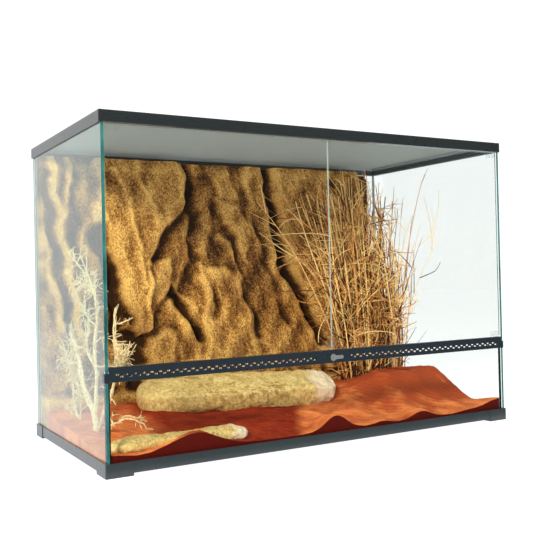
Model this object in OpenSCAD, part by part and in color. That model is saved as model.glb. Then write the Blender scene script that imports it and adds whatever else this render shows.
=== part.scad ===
// Front-opening glass terrarium: a bonded glass case in plastic rails, two frameless hinged
// doors over a ventilation strip with a turn latch, a lift-off screen cover, and a desert
// layout of sand, rock wall, stones, roots and dry twigs.
// Origin: bottom centre of the feet. +X right, +Y to the back, +Z up. Millimetres.

/* [Case] */
// Overall width over the feet and the top rim
case_w = 900; // [880:5:960]
// Overall depth over the feet and the top rim
case_d = 450; // [440:2:480]
// Overall height from the ground to the top rim
case_h = 600; // [580:5:660]
// Thickness of the fixed panes
glass_t = 5; // [4:0.25:6]
// How far the outer faces of the rim and the feet stand out from the glass
frame_overhang = 3.5; // [3.2:0.1:4.5]
// Width of the sealed joint between two panes
bond = 0.5; // [0.3:0.1:1]
// Leg of the black or clear sealant bead in a corner
bead = 4; // [2.5:0.25:5]

/* [Base] */
// Height of the corner feet and of the rails' top edge
foot_h = 24; // [20:1:30]
// Side of the square corner feet
foot_len = 48; // [40:1:60]
// Outer corner radius of the feet
foot_round = 3; // [2:0.25:5]
// Wall of the hollow feet
foot_wall = 3; // [2:0.25:4]
// Clear height under the rails
rail_drop = 4.5; // [3:0.25:6]
// Height of the shelf that carries the panes
shelf_z = 9; // [8:0.25:12]
// Thickness of the shelf
shelf_t = 2.5; // [2:0.1:3]
// Width of the shelf from the rail's outer face
shelf_w = 22; // [18:0.5:28]
// How far the feet stand proud of the rails
foot_proud = 1; // [0.5:0.1:1.5]

/* [Top rim] */
// Height of the rim's outer wall
rim_h = 20; // [18:0.5:26]
// Thickness of the rim's outer wall
rim_wall = 3; // [2:0.1:3]
// Depth of the channel that takes the glass
rim_channel = 8; // [6:0.25:9]
// Thickness of the ledge under the screen cover
ledge_t = 3; // [2:0.1:3.5]
// Reach of the ledge from the rim's outer face
ledge_w = 17; // [15:0.25:18]
// Thickness of the channel's inner leg
rim_leg = 2.2; // [1.6:0.1:3]
// Thickness of the web that closes the front rail above the doors
head_web = 2.5; // [2:0.1:3.5]
// Depth of the fine grooves along the rim
groove_d = 0.4; // [0.2:0.05:0.8]
// Pitch of the grooves up the rim
groove_pitch = 3.6; // [3:0.1:5]
// Width of the smooth band at each rim corner
corner_band = 6; // [5:0.25:9]

/* [Screen cover] */
// Gap around the screen cover
cover_gap = 1; // [0.6:0.1:1.5]
// Width of the screen cover's frame
cover_frame_w = 16; // [15:0.5:22]
// Height of the cover's top below the rim's top
cover_inset = 0.4; // [0.2:0.1:1]
// Width of the rubber spline and its groove
spline_w = 2.5; // [2:0.1:3.5]
// Depth of the spline groove
spline_d = 3; // [2:0.1:4]
// Depth of the mesh seat below the frame's top
mesh_drop = 1.8; // [1.2:0.1:2.4]
// Width of the seat under the mesh
mesh_seat = 4.5; // [3:0.25:6]
// Thickness of the mesh
mesh_t = 0.8; // [0.6:0.1:1.1]
// Width of one bar of the mesh
mesh_bar = 1.2; // [0.8:0.1:2]
// Number of openings along the mesh
mesh_nx = 28; // [20:1:28]
// Number of openings across the mesh
mesh_ny = 10; // [8:1:10]

/* [Ventilation strip] */
// Height of the strip's lower edge
strip_z = 155; // [145:1:165]
// Height of the strip
strip_h = 24.5; // [24:0.5:30]
// Thickness of the strip's walls
strip_wall = 2; // [1.6:0.1:2.4]
// How far the strip stands proud of the side panes' front edges
strip_proud = 1.5; // [1:0.1:1.5]
// Setback of the lower front pane behind the side panes' front edges
pane_setback = 2; // [1.5:0.1:2.5]
// Depth to which the strip grips the lower front pane
pane_grip = 4.5; // [3:0.25:6]
// Thickness of the door sill
sill_t = 2.5; // [2:0.1:3]
// Length of one ventilation slot
slot_len = 5; // [4:0.25:7]
// Height of one ventilation slot
slot_h = 2.4; // [1.6:0.1:2.8]
// Pitch of the slots along a row
slot_pitch = 15; // [12:0.5:20]
// Height between the two rows
slot_rows = 3.5; // [3:0.1:4]
// Length of the blank middle between the left and right groups of slots
slot_blank = 78; // [70:1:100]
// Height of the end caps on the strip
cap_h = 15; // [12:0.5:18]
// Thickness of the end caps outside the side panes
cap_t = 2; // [1.2:0.1:2.8]
// Depth of the end caps' outer leg
cap_leg = 9; // [6:0.5:14]

/* [Doors] */
// Thickness of the door glass
door_t = 4; // [3:0.25:4]
// Gap above and below the door glass
door_gap = 2.5; // [2:0.1:3]
// Gap between the two doors at the seam
seam_gap = 1.6; // [1.2:0.1:3]
// Distance of the door pivots from the side panes' inner faces
pivot_in = 7.5; // [7.5:0.1:9]
// Radius of the door pivot pins
pivot_r = 2; // [1.5:0.1:2.4]
// Radial clearance of the pins in their bores
pin_fit = 0.05; // [0.03:0.01:0.08]
// Depth to which the pins enter their bores
pivot_depth = 6.5; // [5:0.25:7]
// Length of the pivot shoes along the glass
shoe_len = 26; // [20:1:34]
// Height of the pivot shoes
shoe_h = 10; // [8:0.5:14]
// Cheek thickness of the pivot shoes
shoe_cheek = 1; // [0.8:0.1:1.2]
// End clearance between a shoe and the case
shoe_gap = 0.3; // [0.2:0.05:0.5]
// Reach of the shoes and the glass past the pivot
pivot_edge = 6; // [5:0.1:6]
// Length of the door stop above the seam
stop_len = 18; // [14:1:24]
// Depth of the door stop below the rim
stop_drop = 6; // [4:0.5:8]

/* [Latch] */
// Radius of the latch shaft
latch_r = 1.5; // [1.2:0.05:1.8]
// Thickness of the lever plate
lever_t = 1.2; // [0.8:0.05:1.2]
// Reach of the lever from its axis
lever_len = 23; // [18:0.5:28]
// Height of the lever plate
lever_w = 10; // [8:0.25:11]
// Thickness of the latch cam
cam_t = 1.5; // [1:0.1:2]
// Reach of the cam from its axis
cam_len = 24; // [22:0.25:26]
// Width of the cam
cam_w = 10; // [8:0.25:12]
// Width of one door catch
catch_w = 13; // [10:0.5:18]
// Height of a door catch
catch_h = 14; // [13:0.25:18]
// Sheet thickness of the door catches
catch_t = 1.2; // [1:0.05:1.5]
// Running clearance between flat moving faces
face_gap = 0.3; // [0.2:0.05:0.5]

/* [Rock wall] */
// Greatest depth of the rock wall in front of the back pane
rock_depth = 86; // [76:1:90]
// Depth of the rock between its boulders
rock_mean = 50; // [44:1:54]
// Least depth of the rock, in its crevices
rock_skin = 14; // [12:1:18]
// Depth of its straight toe behind the sand
rock_toe = 66; // [60:1:68]
// Height of the straight toe above the floor pane
rock_toe_h = 56; // [50:1:64]
// Width left free at the right end of the wall
rock_free = 29; // [20:1:40]
// Columns of the rock surface
rock_nu = 62; // [50:1:66]
// Rows of the rock surface
rock_nv = 35; // [30:1:38]

/* [Sand] */
// Mean height of the sand at the front, above the ground
sand_front = 26; // [24:0.5:32]
// Rise of the sand from front to back
sand_rise = 28; // [18:1:32]
// Height of the big dune above the sand around it
dune_h = 46; // [30:1:52]
// Columns of the sand surface
sand_nu = 44; // [30:1:48]
// Rows of the sand surface
sand_nv = 21; // [16:1:24]

/* [Stones] */
// Length of the long stone ledge
ledge_stone_len = 430; // [380:5:450]
// Width of the long stone ledge
ledge_stone_w = 92; // [80:1:104]
// Height of the long stone ledge
ledge_stone_h = 82; // [70:1:90]
// Length of the flat stone in front
flat_stone_len = 262; // [220:2:280]
// Width of the flat stone in front
flat_stone_w = 46; // [36:1:50]
// Height of the flat stone in front
flat_stone_h = 34; // [26:1:38]

/* [Plants] */
// Height of the dry twig bundle above the floor pane
twig_h = 520; // [440:5:540]
// Distance of the bundle's middle from the right pane
twig_from_side = 118; // [114:1:124]
// Distance of the bundle's middle from the rock's toe
twig_from_rock = 65; // [60:1:70]
// Height of the bundle's foot above the floor pane
twig_bed = 26; // [22:1:30]
// Width of the bundle at its foot
twig_foot_w = 184; // [150:2:190]
// Depth of the bundle at its foot
twig_foot_d = 66; // [50:1:68]
// Radius of one twig at its foot
twig_r = 3; // [2.4:0.1:3.6]
// Number of main twigs
twig_n = 50; // [40:1:56]
// Number of side shoots
shoot_n = 42; // [30:1:60]
// Length of the longest side shoot
shoot_len = 125; // [90:5:140]
// Radius of a side shoot where it leaves its twig
shoot_r = 1.3; // [1:0.1:1.6]
// Reach of the side shoots to the left of the foot's middle
shoot_left = 243; // [200:1:244]
// Reach of the side shoots to the front of the foot's middle
shoot_front = 80; // [60:1:82]
// Distance of the roots' foot from the left pane
root_from_side = 40; // [38:1:44]
// Distance of the roots' foot from the lower front pane
root_from_front = 172; // [160:2:184]
// Height of the roots' foot above the floor pane
root_bed = 20; // [16:1:24]
// Height of the root branches above their foot
root_len = 308; // [290:2:310]
// Radius of the thickest root
root_r = 6; // [4.5:0.25:7]
// Length of the short ends along the roots
root_end_len = 30; // [20:1:34]
// Width of the band along the left pane that the roots keep to
root_band = 66; // [60:1:68]

/* [Hidden] */
$fn = 48;
eps = 0.01;

// Planes of the glass case
half_w = case_w / 2;
half_d = case_d / 2;
glass_x = half_w - frame_overhang;
glass_y = half_d - frame_overhang;
in_x = glass_x - glass_t;
in_y = glass_y - glass_t;
front_pane_y = -glass_y + pane_setback;
front_in_y = front_pane_y + glass_t;
floor_z = shelf_z + glass_t;
rim_z = case_h - rim_h;
glass_top = rim_z + rim_channel;
ledge_z = glass_top + ledge_t;

// Base
skin_gap = 0.2;
rail_x = half_w - foot_proud;
rail_y = half_d - foot_proud;
rail_skin = frame_overhang - foot_proud - skin_gap;

// Ventilation strip, doors and latch
strip_y = -glass_y - strip_proud;
strip_top = strip_z + strip_h;
pane_top = strip_z + pane_grip;
web_top = pane_top + strip_wall;
strip_back = front_in_y + skin_gap + strip_wall;
sill_z = strip_top - sill_t;
strip_end = in_x - skin_gap;
door_y = -glass_y + 1.5;
door_back = door_y + door_t;
door_mid = door_y + door_t / 2;
door_z0 = strip_top + door_gap;
door_z1 = rim_z - door_gap + skin_gap;
pivot_x = in_x - pivot_in;
boss_r = pivot_r + 2.4;
latch_boss_r = latch_r + 2.8;
latch_z = web_top + latch_boss_r - 0.3;
slot_z = latch_z;
cam_y = strip_back + face_gap + 0.5;
catch_y = cam_y + cam_t + 2.5;
catch_z = strip_top + 3.5;
lever_y = strip_y - face_gap;

// Screen cover
cover_x = half_w - rim_wall - cover_gap;
cover_y = half_d - rim_wall - cover_gap;
cover_z0 = ledge_z + skin_gap;
cover_z1 = case_h - cover_inset;
mesh_z = cover_z1 - mesh_drop;
mesh_edge = cover_frame_w - mesh_seat;

// Furnishings
rock_x0 = -in_x + bead + 0.3;
rock_x1 = in_x - rock_free;
rock_top = rim_z - 2;
rock_toe_y = in_y - rock_toe;
rock_toe_z = floor_z + rock_toe_h;

function clamp01(t) = min(1, max(0, t));
function smooth(a, b, t) = let (s = clamp01((t - a) / (b - a))) s * s * (3 - 2 * s);
function bump(t, c, w) = exp(-pow((t - c) / w, 2));
function seg_dist(p, a, b) =
    let (ab = b - a, t = clamp01(((p - a) * ab) / (ab * ab))) norm(p - a - t * ab);
function line_dist(p, pts) =
    min([for (k = [0 : len(pts) - 2]) seg_dist(p, pts[k], pts[k + 1])]);

// Closed solid under a surface of nu by nv points: the rim of the surface drops to the points
// in foot, which run once round it, and a fan about the point hub closes them
function ring_ids(nu, nv) = concat(
    [for (i = [0 : nu - 1]) i * nv],
    [for (j = [1 : nv - 1]) (nu - 1) * nv + j],
    [for (i = [nu - 2 : -1 : 0]) i * nv + nv - 1],
    [for (j = [nv - 2 : -1 : 1]) j]);
module surface_solid(top, foot, hub, nu, nv) {
    ids = ring_ids(nu, nv);
    m = len(ids);
    n = nu * nv;
    polyhedron(
        points = concat(top, foot, [hub]),
        faces = concat(
            [for (i = [0 : nu - 2], j = [0 : nv - 2])
                [i * nv + j, i * nv + j + 1, (i + 1) * nv + j + 1]],
            [for (i = [0 : nu - 2], j = [0 : nv - 2])
                [i * nv + j, (i + 1) * nv + j + 1, (i + 1) * nv + j]],
            [for (k = [0 : m - 1]) [ids[k], ids[(k + 1) % m], n + (k + 1) % m]],
            [for (k = [0 : m - 1]) [ids[k], n + (k + 1) % m, n + k]],
            [for (k = [0 : m - 1]) [n + k, n + (k + 1) % m, n + m]]),
        convexity = 10);
}

// Closed solid through rings of m points each, flat at both ends
module ring_solid(rings, m) {
    n = len(rings);
    polyhedron(
        points = [for (r = rings, p = r) p],
        faces = concat(
            [for (k = [0 : n - 2], j = [0 : m - 1])
                [k * m + j, (k + 1) * m + j, (k + 1) * m + (j + 1) % m]],
            [for (k = [0 : n - 2], j = [0 : m - 1])
                [k * m + j, (k + 1) * m + (j + 1) % m, k * m + (j + 1) % m]],
            [[for (j = [0 : m - 1]) j]],
            [[for (j = [m - 1 : -1 : 0]) (n - 1) * m + j]]),
        convexity = 10);
}

// Base: an inverted channel with a shelf for the panes and a skin outside them
module base_rail_profile() {
    polygon([
        [0, rail_drop], [rail_skin, rail_drop], [rail_skin, shelf_z - shelf_t],
        [shelf_w - rail_skin, shelf_z - shelf_t], [shelf_w - rail_skin, rail_drop],
        [shelf_w, rail_drop], [shelf_w, shelf_z], [rail_skin, shelf_z],
        [rail_skin, foot_h - 0.4], [rail_skin - 0.4, foot_h], [0.8, foot_h], [0, foot_h - 0.8]]);
}
module base_rail(len) {
    color([0.13, 0.14, 0.15])
    rotate([90, 0, 90]) translate([0, 0, -len / 2]) linear_extrude(len) base_rail_profile();
}
module base_rail_front() { translate([0, -rail_y, 0]) base_rail(case_w - 2 * foot_len); }
module base_rail_back() { rotate(180) translate([0, -rail_y, 0]) base_rail(case_w - 2 * foot_len); }
module base_rail_left() { rotate(-90) translate([0, -rail_x, 0]) base_rail(case_d - 2 * foot_len); }
module base_rail_right() { rotate(90) translate([0, -rail_x, 0]) base_rail(case_d - 2 * foot_len); }

// Corner foot: a square pad with one rounded corner, ribbed underneath, and two skins on top
module foot_plan(inset) {
    s = foot_len - inset;
    r = foot_round;
    union() {
        translate([inset + r, inset]) square([s - r, s]);
        translate([inset, inset + r]) square([s, s - r]);
        translate([inset + r, inset + r]) circle(r);
    }
}
module corner_foot() {
    cell = (foot_len - 3 * foot_wall) / 2;
    skin = frame_overhang - skin_gap;
    color([0.12, 0.13, 0.14])
    union() {
        difference() {
            linear_extrude(shelf_z) foot_plan(0);
            for (i = [0, 1], j = [0, 1])
                translate([foot_wall + i * (cell + foot_wall), foot_wall + j * (cell + foot_wall), -1])
                    cube([cell, cell, shelf_z - shelf_t + 1]);
        }
        translate([0, 0, shelf_z - eps]) linear_extrude(foot_h - shelf_z + eps) difference() {
            foot_plan(0);
            translate([skin, skin]) square(foot_len);
        }
    }
}
module foot_front_left() { translate([-half_w, -half_d, 0]) corner_foot(); }
module foot_front_right() { mirror([1, 0, 0]) foot_front_left(); }
module foot_back_left() { mirror([0, 1, 0]) foot_front_left(); }
module foot_back_right() { mirror([0, 1, 0]) foot_front_right(); }

// Fixed panes
module pane(lo, hi) {
    color([0.78, 0.9, 0.88, 0.35]) translate(lo) cube(hi - lo);
}
module floor_pane() {
    pane([-in_x + bond, front_in_y + bond, shelf_z], [in_x - bond, in_y - bond, floor_z]);
}
module side_pane_left() { pane([-glass_x, -glass_y, shelf_z], [-in_x, glass_y, glass_top]); }
module side_pane_right() { mirror([1, 0, 0]) side_pane_left(); }
module back_pane() { pane([-in_x + bond, in_y, shelf_z], [in_x - bond, glass_y, glass_top]); }
module front_lower_pane() {
    pane([-in_x + bond, front_pane_y, shelf_z], [in_x - bond, front_in_y, pane_top]);
}

// Sealant: a film in each joint, and a bead in the upright corners
module seal_floor() {
    w = in_x - bond;
    color([0.1, 0.1, 0.1])
    translate([0, 0, shelf_z]) linear_extrude(glass_t) difference() {
        translate([-in_x, front_in_y]) square([2 * in_x, in_y - front_in_y]);
        translate([-w, front_in_y + bond]) square([2 * w, in_y - front_in_y - 2 * bond]);
    }
}
module corner_seal(pane_y, side, z0, z1) {
    // Plan of the film beside the pane and of the bead on its inner face
    translate([-in_x, pane_y, z0]) linear_extrude(z1 - z0) polygon([
        [0, 0], [0, side * (glass_t + bead)], [bead, side * glass_t],
        [bond, side * glass_t], [bond, 0]]);
}
module seal_front_left() {
    color([0.06, 0.06, 0.07]) corner_seal(front_pane_y, 1, floor_z, strip_z - skin_gap);
}
module seal_front_right() { mirror([1, 0, 0]) seal_front_left(); }
module seal_rear_left() {
    color([0.75, 0.78, 0.78, 0.8]) corner_seal(glass_y, -1, floor_z, rim_z - skin_gap);
}
module seal_rear_right() { mirror([1, 0, 0]) seal_rear_left(); }

// Ventilation strip: a slotted front plate, a channel on the lower pane and a sill for the doors
module strip_profile() {
    // Plate and sill
    polygon([
        [strip_y, strip_z + 0.6], [strip_y + 0.6, strip_z], [strip_y + strip_wall, strip_z],
        [strip_y + strip_wall, pane_top], [front_in_y + skin_gap, pane_top],
        [front_in_y + skin_gap, strip_z], [strip_back, strip_z], [strip_back, web_top],
        [strip_y + strip_wall, web_top], [strip_y + strip_wall, sill_z], [strip_back, sill_z],
        [strip_back, strip_top], [strip_y + 0.6, strip_top], [strip_y, strip_top - 0.6]]);
}
module slot_row(x0, x1, z) {
    n = floor((x1 - x0 - slot_len) / slot_pitch + eps);
    for (i = [0 : n]) translate([x0 + i * slot_pitch, strip_y - 1, z - slot_h / 2])
        cube([slot_len, strip_wall + 2, slot_h]);
}
module vent_strip() {
    row_end = pivot_x - slot_len;
    rib = 2.4;
    color([0.07, 0.08, 0.1])
    difference() {
        union() {
            rotate([90, 0, 90]) translate([0, 0, -strip_end]) linear_extrude(2 * strip_end)
                strip_profile();
            // Ribs beside the latch and at the ends
            for (x = [-strip_end, -slot_blank / 2 + 3, slot_blank / 2 - 3 - rib, strip_end - rib])
                translate([x, strip_y + 0.5, web_top - eps])
                    cube([rib, strip_back - strip_y - 0.5, sill_z - web_top + 2 * eps]);
            // Bosses of the two door pivots and of the latch shaft
            for (s = [-1, 1]) translate([s * pivot_x, door_mid, strip_top - pivot_depth - 2])
                cylinder(r = boss_r, h = pivot_depth + 2 - sill_t + eps);
            translate([0, strip_y + 0.5, latch_z]) rotate([-90, 0, 0])
                cylinder(r = latch_boss_r, h = strip_back - strip_y - 0.5);
        }
        for (s = [-1, 1]) translate([s * pivot_x, door_mid, strip_top - pivot_depth - 0.5])
            cylinder(r = pivot_r + pin_fit, h = pivot_depth + 1.5);
        translate([0, strip_y - 1, latch_z]) rotate([-90, 0, 0])
            cylinder(r = latch_r + pin_fit, h = strip_back - strip_y + 2);
        for (r = [-1, 1]) {
            z = slot_z + r * slot_rows / 2;
            shift = r < 0 ? slot_pitch / 2 : 0;
            slot_row(-row_end + shift, -slot_blank / 2, z);
            slot_row(slot_blank / 2 + shift, row_end, z);
        }
    }
}
module strip_cap_left() {
    color([0.07, 0.08, 0.1])
    translate([0, 0, strip_z]) linear_extrude(cap_h) polygon([
        [-strip_end, strip_y], [-strip_end, -glass_y], [-glass_x, -glass_y],
        [-glass_x, -glass_y + cap_leg], [-glass_x - cap_t, -glass_y + cap_leg],
        [-glass_x - cap_t, strip_y + 0.8], [-glass_x - cap_t + 0.8, strip_y]]);
}
module strip_cap_right() { mirror([1, 0, 0]) strip_cap_left(); }

// Top rim: grooved rails with a glass channel and a ledge, mitred inside the corner bands
groove_n = floor((rim_h - 4) / groove_pitch);
function groove_points() = [for (k = [groove_n - 1 : -1 : 0])
    let (z = rim_z + 3 + k * groove_pitch)
    each [[0, z + groove_d + 0.5], [groove_d, z + groove_d], [groove_d, z], [0, z - 0.5]]];
channel = frame_overhang + glass_t + 0.3;
module rim_section(closed) {
    // Outer wall with fine grooves, ledge, inner leg, and the web that closes the front rail
    polygon(concat(
        [[0.5, rim_z], [rim_wall, rim_z], [rim_wall, case_h], [0.5, case_h], [0, case_h - 0.5]],
        groove_points(),
        [[0, rim_z + 0.5]]));
    translate([rim_wall - eps, glass_top]) square([ledge_w - rim_wall + eps, ledge_t]);
    translate([channel, rim_z]) square([rim_leg, rim_channel + eps]);
    if (closed) translate([rim_wall - eps, rim_z])
        square([channel + rim_leg - rim_wall, head_web]);
}
module corner_plan() {
    // One corner band, seen from above at the front left
    translate([rim_wall, 0]) square([corner_band - rim_wall, rim_wall]);
    translate([0, rim_wall]) square([rim_wall, corner_band - rim_wall]);
    intersection() {
        translate([rim_wall, rim_wall]) circle(rim_wall);
        square(rim_wall);
    }
}
module rim_corner() {
    color([0.16, 0.17, 0.18])
    translate([-half_w, -half_d, rim_z]) linear_extrude(rim_h) corner_plan();
}
module rim_corner_front_left() { rim_corner(); }
module rim_corner_front_right() { mirror([1, 0, 0]) rim_corner(); }
module rim_corner_back_left() { mirror([0, 1, 0]) rim_corner(); }
module rim_corner_back_right() { mirror([1, 0, 0]) mirror([0, 1, 0]) rim_corner(); }
module rim_rail(half_len, half_off, closed) {
    // Rail along X with its outer face at -half_off, mitred at both ends
    a = half_len;
    b = half_off;
    color([0.16, 0.17, 0.18])
    difference() {
        intersection() {
            translate([0, -b, 0]) rotate([90, 0, 90]) translate([0, 0, -a])
                linear_extrude(2 * a) rim_section(closed);
            translate([0, 0, rim_z - 1]) linear_extrude(rim_h + 2) polygon([
                [-a, -b], [a, -b], [a - ledge_w - 1, -b + ledge_w + 1],
                [-a + ledge_w + 1, -b + ledge_w + 1]]);
        }
        // Room for the corner bands
        for (s = [0, 1]) mirror([s, 0, 0]) translate([-a, -b, rim_z - 1]) {
            translate([-1, -1, 0]) cube([corner_band + 1, rim_wall + 1, rim_h + 2]);
            translate([-1, -1, 0]) cube([rim_wall + 1, corner_band + 1, rim_h + 2]);
        }
    }
}
module top_rail_front() {
    color([0.16, 0.17, 0.18])
    difference() {
        union() {
            rim_rail(half_w, half_d, true);
            for (s = [-1, 1]) translate([s * pivot_x, door_mid, rim_z + head_web - eps])
                cylinder(r = boss_r, h = rim_channel - head_web + 2 * eps);
        }
        for (s = [-1, 1]) translate([s * pivot_x, door_mid, rim_z - 1])
            cylinder(r = pivot_r + pin_fit, h = pivot_depth + 1.5);
        // Slots for the side panes
        for (s = [0, 1]) mirror([s, 0, 0])
            translate([-glass_x - skin_gap, -glass_y - skin_gap, rim_z - 1])
                cube([glass_t + 2 * skin_gap, 2 * ledge_w, rim_channel + 1]);
    }
}
module top_rail_back() { rotate(180) rim_rail(half_w, half_d, false); }
module top_rail_left() { rotate(-90) rim_rail(half_d, half_w, false); }
module top_rail_right() { rotate(90) rim_rail(half_d, half_w, false); }
module door_stop() {
    leg_back = -half_d + channel + rim_leg;
    color([0.75, 0.77, 0.78])
    translate([-stop_len / 2, door_back + face_gap, rim_z - stop_drop])
        cube([stop_len, leg_back + 5 - door_back - face_gap, stop_drop]);
}

// Doors: frameless glass in moulded pivot shoes, each with a catch beside the seam
module door_glass_left() {
    color([0.78, 0.9, 0.88, 0.35])
    translate([-pivot_x - pivot_edge, door_y, door_z0])
        cube([pivot_x + pivot_edge - seam_gap / 2, door_t, door_z1 - door_z0]);
}
module door_glass_right() { mirror([1, 0, 0]) door_glass_left(); }
module pivot_shoe(edge_z, stop_z, up) {
    // Channel on the glass edge at edge_z, its end face at stop_z, with the pin beyond it
    lip = up > 0 ? edge_z - shoe_h : edge_z + shoe_h;
    z0 = min(stop_z, lip);
    w = door_t + 2 * shoe_cheek;
    color([0.85, 0.88, 0.88, 0.6])
    union() {
        difference() {
            translate([-pivot_x, door_mid, z0]) linear_extrude(abs(stop_z - lip)) union() {
                square([2 * pivot_edge - 2, w], center = true);
                translate([0, -w / 2]) square([shoe_len - pivot_edge, w]);
                translate([-pivot_edge + 0.8 - 0.6, -w / 2 + 0.8]) square([2, w - 1.6]);
            }
            translate([-pivot_x - pivot_edge, door_y, min(edge_z, lip - up)])
                cube([shoe_len + 1, door_t, abs(edge_z - lip) + 1]);
        }
        translate([-pivot_x, door_mid, up > 0 ? stop_z - eps : stop_z - pivot_depth + shoe_gap])
            cylinder(r = pivot_r, h = pivot_depth - shoe_gap + eps);
    }
}
module shoe_left_lower() { pivot_shoe(door_z0, strip_top + shoe_gap, -1); }
module shoe_left_upper() { pivot_shoe(door_z1, rim_z - shoe_gap, 1); }
module shoe_right_lower() { mirror([1, 0, 0]) shoe_left_lower(); }
module shoe_right_upper() { mirror([1, 0, 0]) shoe_left_upper(); }
module door_catch_left() {
    x1 = -seam_gap / 2 - 0.4;
    color([0.8, 0.81, 0.82])
    translate([x1, 0, 0]) rotate([90, 0, -90]) linear_extrude(catch_w) mirror([1, 0]) polygon([
        [door_back, catch_z], [door_back + catch_t, catch_z],
        [door_back + catch_t, catch_z + catch_h - catch_t],
        [catch_y, catch_z + catch_h - catch_t], [catch_y, catch_z],
        [catch_y + catch_t, catch_z], [catch_y + catch_t, catch_z + catch_h],
        [door_back, catch_z + catch_h]]);
}
module door_catch_right() { mirror([1, 0, 0]) door_catch_left(); }

// Turn latch: lever in front, shaft through the strip, cam and screw behind
module latch_lever() {
    tip = lever_w * 0.36;
    color([0.72, 0.73, 0.74])
    translate([0, lever_y, latch_z]) rotate([90, 0, 0]) difference() {
        linear_extrude(lever_t) union() {
            circle(lever_w / 2 + 1.5);
            translate([0, -tip]) square([lever_len - tip, 2 * tip]);
            translate([lever_len - tip, 0]) circle(tip);
        }
        translate([0, 0, -1]) cylinder(r = latch_r + 0.02, h = lever_t + 2);
    }
}
module latch_shaft() {
    color([0.6, 0.61, 0.62])
    translate([0, lever_y - lever_t, latch_z]) rotate([-90, 0, 0])
        cylinder(r = latch_r, h = cam_y + cam_t - lever_y + lever_t);
}
module latch_cam() {
    color([0.72, 0.73, 0.74])
    translate([0, cam_y + cam_t, latch_z]) rotate([90, 0, 0]) difference() {
        linear_extrude(cam_t) union() {
            circle(cam_w / 2);
            translate([-cam_len + 1, -cam_w / 2]) square([cam_len - 1, cam_w]);
            translate([-cam_len, -cam_w / 2 + 1]) square([cam_len, cam_w - 2]);
        }
        translate([0, 0, -1]) cylinder(r = latch_r + 0.02, h = cam_t + 2);
    }
}
module latch_screw() {
    color([0.6, 0.61, 0.62])
    translate([0, cam_y + cam_t, latch_z]) rotate([-90, 0, 0]) difference() {
        cylinder(r = latch_r + 1.6, h = 1.6);
        translate([-latch_r - 2, -0.4, 0.9]) cube([2 * latch_r + 4, 0.8, 1]);
    }
}

// Screen cover: four stepped rails mitred at the corners, a mesh on their seat and the spline
// that holds the mesh
module cover_ring(inset_a, inset_b, h) {
    linear_extrude(h) difference() {
        translate([-cover_x + inset_a, -cover_y + inset_a])
            square([2 * (cover_x - inset_a), 2 * (cover_y - inset_a)]);
        translate([-cover_x + inset_b, -cover_y + inset_b])
            square([2 * (cover_x - inset_b), 2 * (cover_y - inset_b)]);
    }
}
module cover_rail(half_len, half_across) {
    w = cover_frame_w;
    e = half_len - skin_gap / 2;
    groove = mesh_edge - spline_w;
    color([0.2, 0.21, 0.22])
    translate([0, -half_across, 0]) intersection() {
        translate([-half_len, 0, 0]) rotate([90, 0, 90]) linear_extrude(2 * half_len) polygon([
            [0, cover_z0], [w, cover_z0], [w, mesh_z], [mesh_edge, mesh_z],
            [mesh_edge, mesh_z - spline_d], [groove, mesh_z - spline_d], [groove, cover_z1],
            [0, cover_z1]]);
        translate([0, 0, cover_z0 - 1]) linear_extrude(cover_z1 - cover_z0 + 2) polygon([
            [-e - 1, -1], [e + 1, -1], [e - w - 1, w + 1], [w + 1 - e, w + 1]]);
    }
}
module cover_rail_front() { cover_rail(cover_x, cover_y); }
module cover_rail_back() { rotate(180) cover_rail(cover_x, cover_y); }
module cover_rail_left() { rotate(-90) cover_rail(cover_y, cover_x); }
module cover_rail_right() { rotate(90) cover_rail(cover_y, cover_x); }
module cover_spline() {
    color([0.1, 0.1, 0.1])
    translate([0, 0, mesh_z - spline_d])
        cover_ring(mesh_edge - spline_w, mesh_edge, spline_d + mesh_drop - 0.4);
}
module cover_mesh() {
    w = 2 * (cover_x - mesh_edge);
    d = 2 * (cover_y - mesh_edge);
    px = (w - mesh_bar) / mesh_nx;
    py = (d - mesh_bar) / mesh_ny;
    color([0.45, 0.47, 0.46])
    translate([-w / 2, -d / 2, mesh_z]) linear_extrude(mesh_t) difference() {
        square([w, d]);
        for (i = [0 : mesh_nx - 1], j = [0 : mesh_ny - 1])
            translate([mesh_bar + i * px, mesh_bar + j * py])
                square([px - mesh_bar, py - mesh_bar]);
    }
}

// Rock wall: boulders and ridges parted by crevices, on a straight toe behind the sand. Outlines
// and routes are in percent of the wall's width from its left end and height from the floor.
function rock_point(p) = [rock_x0 + p[0] / 100 * (rock_x1 - rock_x0),
    floor_z + p[1] / 100 * (rock_top - floor_z)];
function placed(form) = let (n = len(form) - 1)
    [for (k = [0 : n]) k < n ? form[k] : [for (p = form[k]) rock_point(p)]];
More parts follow.
